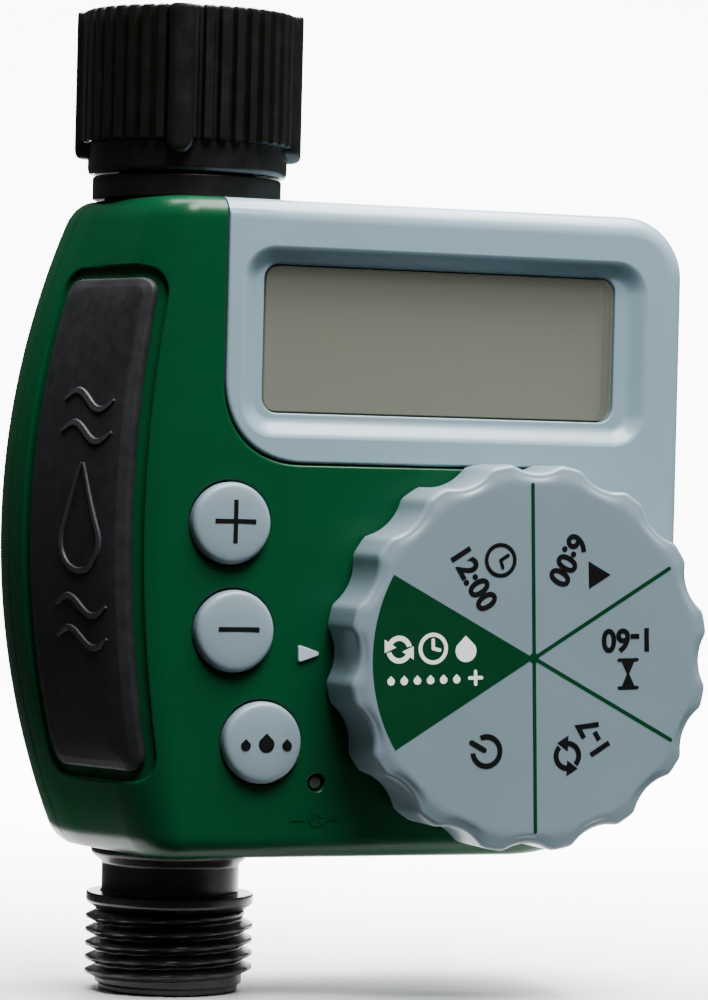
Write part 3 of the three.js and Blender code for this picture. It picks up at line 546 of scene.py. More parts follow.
POINTER["slot"] = "control_grey"
# The emblem's ridges are a lighter tone than the panel: painted highlight along their edges.
EMBLEM_PAINTED_HIGHLIGHT = plastic("panel_emblem", (0.03, 0.031, 0.035), 0.45, grain=1500, grain_um=30, spread=0.15)
EMBLEM_PAINTED_HIGHLIGHT["slot"] = "panel_charcoal"
LEGEND_BLACK = plastic("legend_black", (0.003, 0.003, 0.003), 0.5, specular=0.2, **INK)
LEGEND_WHITE = plastic("legend_white", (0.95, 0.96, 0.95), 0.5, spread=0.02, **INK)
LEGEND_GREEN = plastic("legend_green", (0.0002, 0.038, 0.0123), 0.45, specular=0.15, **INK)
STEEL = metal("steel_zinc", (0.62, 0.63, 0.65), 0.3)
COPPER = metal("copper_wire", (0.75, 0.33, 0.16), 0.32, (1, 1, 40))
# The lens is half opaque and carries the LCD's colour at the front of the recess: painted light that hides
# the recess's shade on the LCD.
LENS_PAINTED_LCD_LIGHT = material_of("lens_clear", (0.23, 0.246, 0.193), 0.06, specular=0.35, alpha=0.35)
LCD = plastic("lcd_glass", (0.24, 0.256, 0.2), 0.34, grain=4000, grain_um=1, spread=0.015,
              rough_spread=0.03, mottle=25)

CAD_FINISH = {m["slot"]: m for m in (GREEN, GREY, CONTROL, BLACK, CHARCOAL, LENS_PAINTED_LCD_LIGHT, LCD, RUBBER, INNER_BLACK,
                                     WHITE, STEEL, COPPER, BOARD, WRAP)}


def finish_cad_nodes():
    """Gives every CAD node its slot's finish and smooth curved faces."""
    for entry in frame["record"]["subparts"]:
        node = frame["nodes"][entry["node"]]
        # the reset pin takes the dark colour that paints in its hole's shade
        finish = PIN_PAINTED_SHADE if entry["node"] == "reset_pin" else CAD_FINISH[entry["material_slot"]]
        node.data.materials.clear()
        node.data.materials.append(finish)
        smooth(node, 35)


# ---- Camera, floor and light ----
CAMERA_AT = Vector((-0.21495, -0.62171, -0.06075))
CAMERA_YAW = radians(21.52)
CAMERA_TILT = radians(0.346)  # looking down
CAMERA_ROLL = radians(1.408)
CAMERA_LENS = 147.1


def add_camera():
    data = bpy.data.cameras.new("camera")
    data.lens = CAMERA_LENS
    data.sensor_width = 36
    camera = bpy.data.objects.new("camera", data)
    bpy.context.scene.collection.objects.link(camera)
    yaw = Matrix.Rotation(-CAMERA_YAW, 4, "Z")
    tilt = Matrix.Rotation(QUARTER - CAMERA_TILT, 4, "X")
    roll = Matrix.Rotation(CAMERA_ROLL, 4, "Z")
    camera.matrix_world = Matrix.Translation(CAMERA_AT) @ yaw @ tilt @ roll
    bpy.context.scene.camera = camera


FLOOR_SIDES = (-40, 97)  # reach of the floor to each side of the water axis
FLOOR_FLARE = 0.098  # how fast the floor widens as it runs away from the camera
FLOOR_FRONT = -26
FLOOR_BEND = 900  # where the floor starts to curve up, and the curve's radius
WALL_RISE = 1700
GLOW = 9.0  # radiance of the lit backdrop
GLOW_FROM = 0.0  # metres behind the water axis where the floor starts to glow
GLOW_FULL = 0.35  # metres behind it where the glow is full


def add_floor():
    """A pale floor that the spout stands on; far behind the timer it curves up into a lit backdrop."""
    low = CAD_LOW.z / MM - 0.2
    profile = [(FLOOR_FRONT, low), (FLOOR_BEND, low)]
    for t in np.linspace(0.1, 1.5, 12):
        profile.append((FLOOR_BEND * (1 + sin(t)), low + FLOOR_BEND * (1 - cos(t))))
    profile.append((2 * FLOOR_BEND, low + WALL_RISE))
    points = [(x + copysign(FLOOR_FLARE * y, x), y, z) for y, z in profile for x in FLOOR_SIDES]
    faces = [(2 * i, 2 * i + 1, 2 * i + 3, 2 * i + 2) for i in range(len(profile) - 1)]
    floor = new_object("floor", points, faces)
    floor.rotation_euler.z = -CAMERA_YAW
    floor.data.shade_smooth()
    pale = material_of("floor_pale", (0.86, 0.86, 0.86), 0.75, specular=0.2)
    tree = pale.node_tree
    shader = tree.nodes["Principled BSDF"]
    fine = noise(tree, 40, 3)
    tree.links.new(tinted(tree, fine, (0.85, 0.85, 0.85), (0.87, 0.87, 0.87)), shader.inputs["Base Color"])
    place = tree.nodes.new("ShaderNodeTexCoord")
    parts = tree.nodes.new("ShaderNodeSeparateXYZ")
    tree.links.new(place.outputs["Object"], parts.inputs["Vector"])
    glow = mapped(tree, parts.outputs["Y"], 0, GLOW, GLOW_FROM, GLOW_FULL)
    shader.inputs["Emission Color"].default_value = (1, 1, 1, 1)
    tree.links.new(glow, shader.inputs["Emission Strength"])
    floor.data.materials.append(pale)


def area_light(name, place, target, size, power):
    """A soft rectangular light; places and sizes are in metres, power in watts."""
    data = bpy.data.lights.new(name, "AREA")
    data.shape = "RECTANGLE"
    data.size, data.size_y = size
    data.energy = power
    light = bpy.data.objects.new(name, data)
    light.location = place
    light.rotation_euler = (Vector(target) - Vector(place)).to_track_quat("-Z", "Y").to_euler()
    bpy.context.scene.collection.objects.link(light)


def add_light():
    world = bpy.data.worlds.new("studio")
    world.use_nodes = True
    background = world.node_tree.nodes["Background"]
    background.inputs["Color"].default_value = (1, 1, 1, 1)
    background.inputs["Strength"].default_value = 0.07
    bpy.context.scene.world = world
    area_light("overhead", (0.2, 0.15, 0.8), (0.15, 0.1, 0), (1.2, 0.8), 42)
    area_light("strip", (0.28, -0.02, 0.55), (0.1, 0, -0.02), (0.7, 0.06), 5)
    area_light("front", (0, -0.5, 0.8), (0.02, 0, -0.07), (0.45, 0.45), 20)


# ---- Housing pieces ----
BUTTONS = {"plus_button": "plus_key", "minus_button": "minus_key", "manual_button": "manual_key"}
CASE_SCREWS = [f"case_screw_{i}" for i in range(1, 6)]
BOARD_SCREWS = ["board_screw_1", "board_screw_2"]
RECESS = (1.5, 70, -54.7, -25.7, 5)  # left, right, low, high and corner radius, as in WINDOW and BACKING
WINDOW = (5.2, 65.5, -51.3, -28, 2.5)
BACKING = (0.2, 71.4, -56.2, -24.2, 5)
RECESS_DEPTH = 1.8
COVE_FLARE = 0.7  # how far the recess's mouth stands outside its outline
COVE_LEAN = 3.4  # how far its wall leans in, from mouth to foot
WINDOW_LIP = 0.3
MOAT = 1.6  # width of the sunk border round the side panel
NECK_HOLE_R = 13.3
SPOUT_HOLE_R = 12.3
BUTTON_HOLE_R = 6.7
HUB_HOLE_R = 5.3
RESET_HOLE_R = 1.4
KNUCKLES = ((-97, -85), (-60, -48))  # where the door's two hinge knuckles start and end, in Z


def centre_xz(node):
    low, high = box_mm(node)
    return (low.x + high.x) / 2, (low.z + high.z) / 2


def valve_holes():
    return [upright(NECK_HOLE_R, TOP - 9, TOP + 3), upright(SPOUT_HOLE_R, BOTTOM - 3, BOTTOM + 6)]


def walls():
    return cut(block(0), block(-WALL))


def front_shell():
    skin = keep(walls(), box(*ROOM_X, ROOM_Y[0], PART_FRONT, *ROOM_Z))
    edge = [(ROOM_Y[0], GAP / 2 + LIP)]
    edge += [(y, GAP / 2 + grow) for y, grow in flare(FRONT, LIP)]
    edge.append((BEZEL_BACK + GAP, GAP / 2))
    tools = [along_y("bezel space", bezel_outline, edge)]
    tools += valve_holes()
    tools += [hole(*centre_xz(name), BUTTON_HOLE_R) for name in BUTTONS]
    tools += [hole(*centre_xz("reset_pin"), RESET_HOLE_R, 0.35)]
    tools += [bar("y", HUB_HOLE_R, FRONT - 5, FRONT + 5, (DIAL_X, 0, DIAL_Z))]
    moat = [(0.9, 1.2), (0.55, 0.05), (0.25, -0.08), (0.05, -0.3), (0, -0.55), (-0.05, -0.95),
            (-0.35, -1.1)]
    tools += [side_plug([(MOAT + grow, height) for grow, height in moat])]
    low, high = box_mm("pointer_mark")
    middle = (low.z + high.z) / 2
    corners = [(low.x, high.z), (low.x, low.z), (high.x, middle)]
    tools += [slab_y(lambda grow: corners, FRONT + 0.2, FRONT + 1.2)]
    return cut(skin, *tools)


def rear_shell():
    skin = keep(walls(), box(*ROOM_X, PART_REAR, ROOM_Y[1], *ROOM_Z))
    tools = valve_holes()
    posts = []
    well = [(2.9, 16.2), (2.9, REAR - 0.4), (3.3, REAR), (3.3, REAR + 2)]
    for x, z in map(centre_xz, CASE_SCREWS):
        tools.append(turned(well, 48, "y", (x, 0, z)))
        posts.append(keep(bar("y", 3.2, PART_REAR, REAR - 1, (x, 0, z), 32), block(-0.5)))
    left = box_mm("battery_door")[0].x
    bay_low, bay_high = box_mm("battery_box")
    rib = box(left - 0.6, left + 3.4, 14.6, REAR - 1, bay_low.z - 3, bay_high.z + 3)
    opening = (bay_low.x - 1.2, bay_high.x + 0.8, bay_low.z - 0.8, bay_high.z + 0.8, 2)
    tools += [along_y("door space", lambda grow: rounded_box(*opening, grow),
                      [(13, 0), (REAR - 0.4, 0), (REAR, 0.4), (REAR + 2, 0.4)])]
    for start, end in KNUCKLES:
        tools.append(box(left - 0.7, bay_low.x, 13, REAR + 2, start - GAP, end + GAP))
    return cut(join(skin, rib, *posts), *tools)


def display_bezel():
    edge = [(FRONT - 1, -LIP - GAP / 2)]
    edge += [(y, grow - GAP / 2) for y, grow in rounding(FRONT - HAIR, LIP, 1, 5)]
    edge.append((BEZEL_BACK, -GAP / 2))
    face = keep(walls(), along_y("bezel", bezel_outline, edge))
    backing = slab_y(lambda grow: rounded_box(*BACKING), FRONT + 1.5, FRONT + 3.6)
    made = join(face, backing)
    cove = [(FRONT - 2, COVE_FLARE)]
    for t in np.linspace(0, 1, 15):
        share = t * t * (3 - 2 * t)
        cove.append((FRONT - 0.02 + (RECESS_DEPTH + 0.02) * share, COVE_FLARE - COVE_LEAN * t))
    recess = along_y("cove", lambda grow: rounded_box(*RECESS, grow, 12), cove)
    mouth = FRONT + RECESS_DEPTH
    lip = [(mouth - 1, WINDOW_LIP)] + flare(mouth, WINDOW_LIP, 4) + [(FRONT + 5, 0)]
    window = along_y("window", lambda grow: rounded_box(*WINDOW, grow, 10), lip)
    return cut(made, recess, window, *valve_holes())


def side_panel():
    return side_plug([(0, -0.8), (0, -0.35), (-0.12, -0.05), (-0.35, 0.08), (-1.3, 0.4), (-1.5, 0.45)])


def add_housing():
    finished(front_shell(), "front_shell_skin", GREEN, "housing", "front_shell")
    finished(rear_shell(), "rear_shell_skin", GREEN, "housing", "rear_shell")
    finished(display_bezel(), "display_bezel_skin", GREY, "housing", "display_bezel")
    finished(side_panel(), "side_panel_grip", CHARCOAL, "housing", "side_panel")


# ---- Selector dial ----
FLUTES = 16
DIAL_CREST = 30.6
DIAL_VALLEY = 29.1
FACE_R = 27.4  # flat part of the dial's face
DIAL_FACE = DIAL_LOW.y + 0.08  # leaves room for the print inside the CAD box
PRINT_FACE = DIAL_LOW.y + 0.03
PRINT_R = 27.2
PRINT_TURN = radians(2)  # how far the print sits turned on the knob
HUB_R = 4.9
FLUTE_R = 7.8
CREST_BLEND = 0.4
DIAL_SKIRT = -25.6  # rear edge of the knob's rim


def rim_radius(angle):
    """Round flutes cut into the crest circle, with the crests between them softened."""
    away = (angle * FLUTES / TURN + 0.5) % 1 - 0.5
    turn = away * TURN / FLUTES
    reach = DIAL_VALLEY + FLUTE_R
    inside = FLUTE_R**2 - (reach * sin(turn)) ** 2
    flute = reach * cos(turn) - sqrt(inside) if inside > 0 else DIAL_CREST + 3
    share = min(max(0.5 + (DIAL_CREST - flute) / (2 * CREST_BLEND), 0), 1)
    return DIAL_CREST + (flute - DIAL_CREST) * share - CREST_BLEND * share * (1 - share)


def dial_knob():
    steps = FLUTES * 20
    angles = [TURN * i / steps for i in range(steps)]

    def ring(radius_at, y):
        return [(DIAL_X + radius_at(a) * cos(a), y, DIAL_Z + radius_at(a) * sin(a)) for a in angles]

    rings = [ring(lambda a: 6.0, DIAL_FACE), ring(lambda a: FACE_R - 0.4, DIAL_FACE)]
    edge = 0.9
    fall = 0.42
    for k in range(1, 6):
        share = k / 5
        rings.append(ring(lambda a: FACE_R + (rim_radius(a) - edge - FACE_R) * share,
                          DIAL_FACE + fall * share**1.6))
    for y, grow in rounding(DIAL_FACE + fall, edge, 1)[1:]:
        rings.append(ring(lambda a: rim_radius(a) + grow, y))
    rings.append(ring(rim_radius, DIAL_SKIRT - 0.3))
    rings.append(ring(lambda a: rim_radius(a) - 0.3, DIAL_SKIRT))
    bore = DIAL_VALLEY - 2.3
    rings.append(ring(lambda a: bore, DIAL_SKIRT))
    rings.append(ring(lambda a: bore, DIAL_LOW.y + 2))
    cap = loft("dial", rings)
    hub = bar("y", HUB_R, DIAL_LOW.y + 1, DIAL_HIGH.y, (DIAL_X, 0, DIAL_Z))
    return cut(join(cap, hub), bar("y", 1.5, -33, 0, (DIAL_X, 0, DIAL_Z), 24))


# ---- Printed marks: flat outlines of (across, up) points ----
FONT_SIZE = 1.38  # the built-in font's size for numerals of height 1
FONT_WEIGHT = 0.045  # how far their outline is pushed out, for a bold look


def thick_line(points, width, ends=5):
    """Outlines, one a stretch, of a line with round ends."""
    found = []
    for (x0, y0), (x1, y1) in zip(points, points[1:]):
        way = atan2(y1 - y0, x1 - x0)
        half = width / 2
        found.append(arc(x1, y1, half, way - QUARTER, way + QUARTER, ends)
                     + arc(x0, y0, half, way + QUARTER, way + 3 * QUARTER, ends))
    return found


def curve_line(cx, cy, radius, start, end, width, steps=20):
    """The outline of an arc of even width."""
    outer = arc(cx, cy, radius + width / 2, start, end, steps)
    inner = arc(cx, cy, radius - width / 2, end, start, steps)
    return [outer + inner]


def full_circle(cx, cy, radius, width):
    halves = ((0, pi), (pi - 0.02, TURN + 0.02))
    return [outline for start, end in halves for outline in curve_line(cx, cy, radius, start, end, width)]


def droplet(cx, cy, size):
    tip = (cx, cy + 1.35 * size)
    lean = radians(28)
    return [arc(cx, cy, size, pi - lean, TURN + lean, 20) + [tip]]


def solid(outlines, y_face, y_back, move):
    """One thin body of ink from flat outlines that may overlap."""
    parts = []
    for outline in outlines:
        place = [move(x, z) for x, z in outline]
        parts.append(loft("ink", [[(x, y, z) for x, z in place] for y in (y_face, y_back)]))
    return join(parts[0], *parts[1:]) if len(parts) > 1 else parts[0]


def numerals(text, height, x, z, y_face, y_back, move):
    """Bold numerals centred on x with their foot at z, as a thin body of ink."""
    curve = bpy.data.curves.new("numerals", "FONT")
    curve.body = text
    curve.align_x = "CENTER"
    curve.size = height * FONT_SIZE
    curve.offset = height * FONT_WEIGHT
    curve.extrude = 1
    curve.resolution_u = 5
    writing = bpy.data.objects.new("numerals", curve)
    bpy.context.scene.collection.objects.link(writing)
    graph = bpy.context.evaluated_depsgraph_get()
    mesh = bpy.data.meshes.new_from_object(writing.evaluated_get(graph))
    bpy.data.objects.remove(writing)
    points = []
    for vertex in mesh.vertices:
        across, up = move(vertex.co.x + x, vertex.co.y + z)
        points.append((across, y_face if vertex.co.z > 0 else y_back, up))
    return new_object("numerals", points, [tuple(face.vertices) for face in mesh.polygons])


def gathered(*objects):
    """Puts separate bodies into the first one's mesh."""
    work = bmesh.new()
    for obj in objects:
        work.from_mesh(obj.data)
    work.to_mesh(objects[0].data)
    work.free()
    for obj in objects[1:]:
        bpy.data.objects.remove(obj)
    return objects[0]


def on_dial(sector, reach=16.5):
    """Moves icon outlines to a sector of the dial, where they read upright at the pointer."""
    angle = radians(sector) + PRINT_TURN

    def move(x, z):
        u, v = reach - x, -z
        return (DIAL_X + u * cos(angle) - v * sin(angle),
                DIAL_Z + u * sin(angle) + v * cos(angle))

    return move


def clock_icon(cx, cy, radius):
    hands = [(cx, cy + radius * 0.62), (cx, cy), (cx + radius * 0.5, cy - radius * 0.12)]
    return full_circle(cx, cy, radius, 0.62) + thick_line(hands, 0.55)


def hourglass_icon(cx, cy, size):
    wide = 0.72 * size
    found = []
    for end in (size, -size):
        found += thick_line([(cx - wide, cy + end), (cx + wide, cy + end)], 0.55)
        waist = cy - 0.05 * end / size
        found.append([(cx - 0.78 * wide, cy + end), (cx - 0.18, waist),
                      (cx + 0.18, waist), (cx + 0.78 * wide, cy + end)])
    return found


def repeat_icon(cx, cy, radius, width=0.62, head=1.0):
    """Two arrows that chase each other round a circle."""
    found = []
    for half in (0, pi):
        found += curve_line(cx, cy, radius, half + 0.25, half + 2.55, width)
        tip = half + 2.55
        x, y = cx + radius * cos(tip), cy + radius * sin(tip)
        out = (cos(tip), sin(tip))
        found.append([(x + out[0] * head, y + out[1] * head),
                      (x - out[1] * 1.5 * head, y + out[0] * 1.5 * head),
                      (x - out[0] * head, y - out[1] * head)])
    return found


def play_icon(cx, cy, size):
    return [[(cx - 0.7 * size, cy - size), (cx + size, cy), (cx - 0.7 * size, cy + size)]]


def off_icon():
    ring = curve_line(0, 0, 2.3, radians(125), radians(415), 0.85, 32)
    return ring + thick_line([(0, 0.4), (0, 2.9)], 0.85)


def white_legend():
    marks = repeat_icon(-5.6, 2.0, 1.75, 0.8, 1.15) + clock_icon(0.1, 2.0, 2.15) + droplet(5.6, 1.5, 1.75)
    for k in range(6):
        marks += droplet(-7.0 + 2.2 * k, -2.9, 0.62)
    marks += thick_line([(6.2, -2.75), (8.2, -2.75)], 0.55) + thick_line([(7.2, -1.75), (7.2, -3.75)], 0.55)
    return marks


def add_dial():
    finished(dial_knob(), "dial_knob_cap", DIAL_GREY, "dial_knob", "dial", angle=40)
    back = DIAL_FACE + 0.05
    place = (0.3, 2.9)
    legends = [
        (120, clock_icon(*place, 2.4), "12:00"),
        (60, play_icon(*place, 2.2), "6:00"),
        (0, hourglass_icon(*place, 2.2), "1-60"),
        (300, repeat_icon(*place, 1.95, 0.85, 1.25), "1-7"),
    ]
    ink = [solid(off_icon(), PRINT_FACE, back, on_dial(240))]
    for sector, icon, text in legends:
        ink.append(solid(icon, PRINT_FACE, back, on_dial(sector)))
        ink.append(numerals(text, 3.6, place[0], -4.1, PRINT_FACE, back, on_dial(sector)))
    finished(gathered(*ink), "dial_dark_legends", LEGEND_BLACK, "dial_knob", weighted=False)
    first = radians(150) + PRINT_TURN
    wedge = [(0, 0)] + arc(0, 0, PRINT_R, first, first + TURN / 6, 40)
    green = [wedge, arc(0, 0, 0.85, 0, TURN * 0.97, 24)]
    for k in (0, 1, 4, 5):
        way = radians(30 + 60 * k) + PRINT_TURN
        green += thick_line([(0, 0), (PRINT_R * cos(way), PRINT_R * sin(way))], 0.62)
    print_body = solid(green, PRINT_FACE + 0.02, back, lambda x, z: (DIAL_X + x, DIAL_Z + z))
    finished(print_body, "dial_green_print", LEGEND_GREEN, "dial_knob", weighted=False)
    emblem = solid(white_legend(), PRINT_FACE - 0.01, DIAL_FACE + 0.03, on_dial(180, 17.2))
    finished(emblem, "dial_white_legend", LEGEND_WHITE, "dial_knob", weighted=False)


# ---- Buttons ----
BUTTON_R = 6.4
MARK_SHIFT = 0.35  # the marks sit a little up and to the right of the buttons' middles


def button_cap(x, z, back):
    """A softly domed cap with a rolled edge, its flange and its stem."""
    proud = 1.8
    profile = [(0.3, -proud), (2.5, -proud + 0.02), (4.2, -proud + 0.08), (5.2, -proud + 0.2)]
    profile += [(BUTTON_R + grow, y) for y, grow in rounding(-proud + 0.24, 0.95, 1)[1:]]
    profile += [(BUTTON_R, 2.5), (7.3, 2.5), (7.3, 3.6), (2.2, 3.6), (2.2, back)]
    return turned([(r, FRONT + y) for r, y in profile], 96, "y", (x, 0, z))


def add_buttons():
    size, weight = 3.35, 0.72
    level = thick_line([(-size, 0), (size, 0)], weight, 1)
    upright = thick_line([(0, -size), (0, size)], weight, 1)
    drops = droplet(0, -0.55, 1.3) + droplet(-3.4, -0.75, 0.8) + droplet(3.4, -0.75, 0.8)
    marks = {"plus_button": level + upright, "minus_button": level, "manual_button": drops}
    for node, body in BUTTONS.items():
        x, z = centre_xz(node)
        low, high = box_mm(node)
        cap = button_cap(x, z, high.y - FRONT)
        finished(cap, node + "_cap", CONTROL, body, node, angle=50)
        x += MARK_SHIFT
        z += MARK_SHIFT
        ink = solid(marks[node], low.y - 0.035, low.y + 0.06, lambda u, v: (x + u, z + v))
        finished(ink, node + "_mark", LEGEND_BLACK, body, weighted=False)


# ---- Small marks ----
def add_marks():
    low, high = box_mm("pointer_mark")
    middle = (low.z + high.z) / 2
    corners = [(low.x + 0.45, low.z + 0.6), (high.x - 0.75, middle), (low.x + 0.45, high.z - 0.6)]

    def rounded_triangle(grow):
        found = []
        for k, (x, z) in enumerate(corners):
            way = radians(120 * (k - 1))
            found += arc(x, z, 0.35 + grow, way - pi / 3, way + pi / 3, 6)
        return found

    pointer = slab_y(rounded_triangle, low.y, high.y, 0.12)
    finished(pointer, "pointer_triangle", POINTER, "housing", "pointer_mark")
    x, z = centre_xz("reset_pin")
    z -= 5.8
    width = 0.36
    raised = repeat_icon(x, z, 0.95, width, 0.6)
    raised += thick_line([(x - 4, z), (x - 2, z)], width) + thick_line([(x + 2, z), (x + 4, z)], width)
    emboss = solid(raised, FRONT - 0.14, FRONT + 0.2, lambda u, v: (u, v))
    finished(emboss, "reset_emboss", GREEN, "housing")
    pieces = []
    for points, width in panel_emblem():
        last = len(points) - 1
        widths = [width * (0.35 + 0.65 * sin(pi * k / last) ** 0.6) for k in range(last + 1)]
        pieces.append(side_ridge(points, widths, 0.1, 0.78))
    finished(gathered(*pieces), "side_panel_emblem", EMBLEM_PAINTED_HIGHLIGHT, "housing", angle=50)


def panel_emblem():
    """Raised lines on the side panel: a drop between waves, as (path, width) pairs."""
    middle, z, radius = 10, -72, 4.6
    lean = radians(25)
    bowl = arc(middle, z, radius, pi - lean, TURN + lean, 30)
    tip = (middle, z + 13)
    flank = [tuple(np.array(bowl[-1]) * (1 - t) + np.array(tip) * t) for t in np.linspace(0.1, 0.93, 9)]
    mirrored = [(2 * middle - a, height) for a, height in reversed(flank)]
    lines = [(mirrored + bowl + flank, 1.1)]
    for start in (-50, -55, -82, -87):
        wave = [(middle + 6 * u, start + 1.5 * sin(pi * u)) for u in np.linspace(-1, 1, 24)]
        lines.append((wave, 1.3))
    return lines


# ---- Swivel nut ----
RIBS = 42
NUT_LOW, NUT_HIGH = box_mm("swivel_nut")
RIB_LOW = -8.7
RIB_R = 17.3
RIB_ROOT_R = 16.25
NUT_R = 16
LUG_R = 18.2
LUG_HALF = 2.35
LUG_ANGLE = radians(-113.5)
LUG_LOW = -11.1
PITCH = 25.4 / 11.5
THREAD_R = 13.45
THREAD_ROW = 0.14
THREAD_SIDES = 96
RIDGE_HALF = 0.98  # half the height of the thread's ridge at its root
RIDGE_FLANK = 0.75  # height over which each flank falls from crest to root
NUT_BORE_R = THREAD_R + 0.25


def rib_radius(angle):
    """Flat-topped ribs with sloping flanks and narrow flat valleys."""
    place = (angle * RIBS / TURN) % 1
    share = min(1, max(0, (0.5 - abs(place - 0.5) - 0.13) / 0.13))
    return RIB_R + (RIB_ROOT_R - RIB_R) * (1 - share * share * (3 - 2 * share))


def ribbed_band():
    steps = RIBS * 12
    angles = [TURN * i / steps for i in range(steps)]

    def ring(inset, z):
        reach = [(a, rib_radius(a) - inset) for a in angles]
        return [(r * cos(a), r * sin(a), z) for a, r in reach]

    rings = [ring(0.5, RIB_LOW), ring(0.12, RIB_LOW + 0.12), ring(0, RIB_LOW + 0.5)]
    top = NUT_HIGH.z
    rings += [ring(0, top - 0.7), ring(0.16, top - 0.22), ring(0.6, top)]
    return loft("ribs", rings)


def nut_lug(turn):
    """An upright half-round bar with a round lower end, standing out of the ribs."""
    rings = []
    spine = [(NUT_HIGH.z, 0.75), (NUT_HIGH.z - 0.25, 0.93), (NUT_HIGH.z - 0.8, 1.0)]
    spine += [(z, 1.0) for z in np.linspace(NUT_HIGH.z - 2, LUG_LOW + LUG_HALF, 12)]
    spine += [(LUG_LOW + LUG_HALF * (1 - sin(t)), cos(t)) for t in np.linspace(0.15, 1.5, 9)]
    proud = LUG_R - RIB_ROOT_R
    for z, share in spine:
        half = LUG_HALF * share
        reach = proud * (1 - (1 - share) ** 2)
        ring = [(NUT_R - 1.2, half), (NUT_R - 1.2, -half)]
        for t in np.linspace(-1, 1, 15):
            ring.append((RIB_ROOT_R + reach * (1 - abs(t) ** 3.2) ** 0.55, half * t))
        rings.append([(x * cos(turn) - y * sin(turn), x * sin(turn) + y * cos(turn), z)
                      for x, y in ring])
    return loft("lug", rings)


def thread(root, crest, low, high, turns, start, run_out=None):
    """A bar whose rings follow a V-shaped ridge, which climbs one pitch a turn from the height `start`.

    `run_out` is the share of a turn over which the ridge rises at each end."""
    rings = []
    for z in np.arange(low, high + THREAD_ROW / 2, THREAD_ROW):
        ring = []
        for i in range(THREAD_SIDES):
            climb = (z - start) / PITCH - i / THREAD_SIDES
            nearest = min(max(round(climb), 0), turns - 1)
            ridge = min(1, max(0, (RIDGE_HALF - abs(climb - nearest) * PITCH) / RIDGE_FLANK))
            if run_out:
                done = nearest + i / THREAD_SIDES
                ridge *= max(0, min(1, done / run_out, (turns - done) / run_out))
            radius = root + (crest - root) * ridge
            angle = TURN * i / THREAD_SIDES
            ring.append((radius * cos(angle), radius * sin(angle), float(z)))
        rings.append(ring)
    return loft("thread", rings)


def nut_bore():
    top, seat = NUT_HIGH.z, RIB_LOW - 0.4
    profile = [(NUT_BORE_R + 1.2, top + 1), (NUT_BORE_R + 1.0, top), (NUT_BORE_R, top - 1.0),
               (NUT_BORE_R, seat), (11.4, seat), (11.4, NUT_LOW.z - 1)]
    return turned(profile, 96)


def inner_thread():
    """The nut's thread as a band whose inner face carries the ridge."""
    low, high = 0.6, NUT_HIGH.z - 2.2
    band = turned([(NUT_BORE_R + 0.4, low), (NUT_BORE_R + 0.4, high)], 96)
    return cut(band, thread(NUT_BORE_R + 0.02, 12.37, low - 0.2, high + 0.23, 4, 1.6))


def swivel_nut():
    low = NUT_LOW.z
    roll = [(NUT_R - 1.1, low), (NUT_R - 0.55, low + 0.08), (NUT_R - 0.18, low + 0.35), (NUT_R, low + 0.9)]
    collar = turned(roll + [(NUT_R, NUT_HIGH.z - 1.5)], 144)
    lugs = [nut_lug(LUG_ANGLE + TURN * k / 4) for k in range(4)]
    return join(cut(join(collar, ribbed_band(), *lugs), nut_bore()), inner_thread())


# ---- Valve body ----
VALVE_Z = -62
VALVE_FACE = 14
PIPE_R = 12
BORE_R = 8
PORT_R = 4.6
THREAD_ROOT_R = 11.85


def rounded_profile(points, radius, steps=4):
    """A profile whose listed corners are cut by short curves of up to `radius`."""
    found = [points[0]]
    for before, at, after in zip(points, points[1:], points[2:]):
        a, b, c = np.array(before, float), np.array(at, float), np.array(after, float)
        reach = min(radius, np.linalg.norm(b - a) * 0.45, np.linalg.norm(c - b) * 0.45)
        start = b + (a - b) / np.linalg.norm(a - b) * reach
        end = b + (c - b) / np.linalg.norm(c - b) * reach
        found += [tuple(start)] + quadratic(start, b, end, steps)
    return found + [points[-1]]


def valve_body():
    """The inlet tail, the pipe inside the case and the threaded spout in one, with the valve's seat."""
    low, high = box_mm("valve_body")
    tail = [(9.4, high.z), (11.9, high.z), (11.9, -7.1), (9.9, -7.1), (9.9, -9.1), (10.9, -9.1),
            (10.9, -13.9), (15.15, -13.9), (15.15, TOP + GAP), (13, TOP + GAP), (13, -26), (PIPE_R, -26),
            (PIPE_R, -58)]
    spout = [(PIPE_R, -58), (PIPE_R, BOTTOM + 1), (12.9, BOTTOM - 0.35), (12.75, -122.2), (11.05, -123.6),
             (11.05, -128.4), (THREAD_R, -128.4), (THREAD_R, -129.9), (THREAD_ROOT_R, -131.1),
             (THREAD_ROOT_R, -131.6)]
    rim = [(THREAD_ROOT_R, -142.0), (THREAD_ROOT_R, -142.7), (11.2, -143), (11.2, low.z), (9, low.z)]
    edges = ((tail, 0.35), (spout, 0.35), (rim, 0.25))
    parts = [turned(rounded_profile(*profile), 120) for profile in edges]
    parts.append(thread(THREAD_ROOT_R, THREAD_R, -142.5, -131.2, 5, -142.2, run_out=1 / 3))
    middle = (0, 0, VALVE_Z)
    parts.append(bar("x", 13, 0, VALVE_FACE, middle))
    chamber = cut(bar("x", 10, VALVE_FACE - 4.5, VALVE_FACE + 1, middle),
                  bar("x", 6, 0, VALVE_FACE + 2, middle))
    mouth = [(8.9, low.z - 1), (8.7, low.z), (BORE_R, low.z + 0.9), (BORE_R, VALVE_Z - 6)]
    return cut(
        join(*parts),
        upright(BORE_R, VALVE_Z + 10, 1),
        upright(9.3, -4.7, 1),
        turned(mouth, 72),
        bar("z", PORT_R, VALVE_Z - 7, VALVE_Z, (0, 0, 0)),
        bar("x", PORT_R, 0, VALVE_FACE + 1, middle),
        chamber,
    )


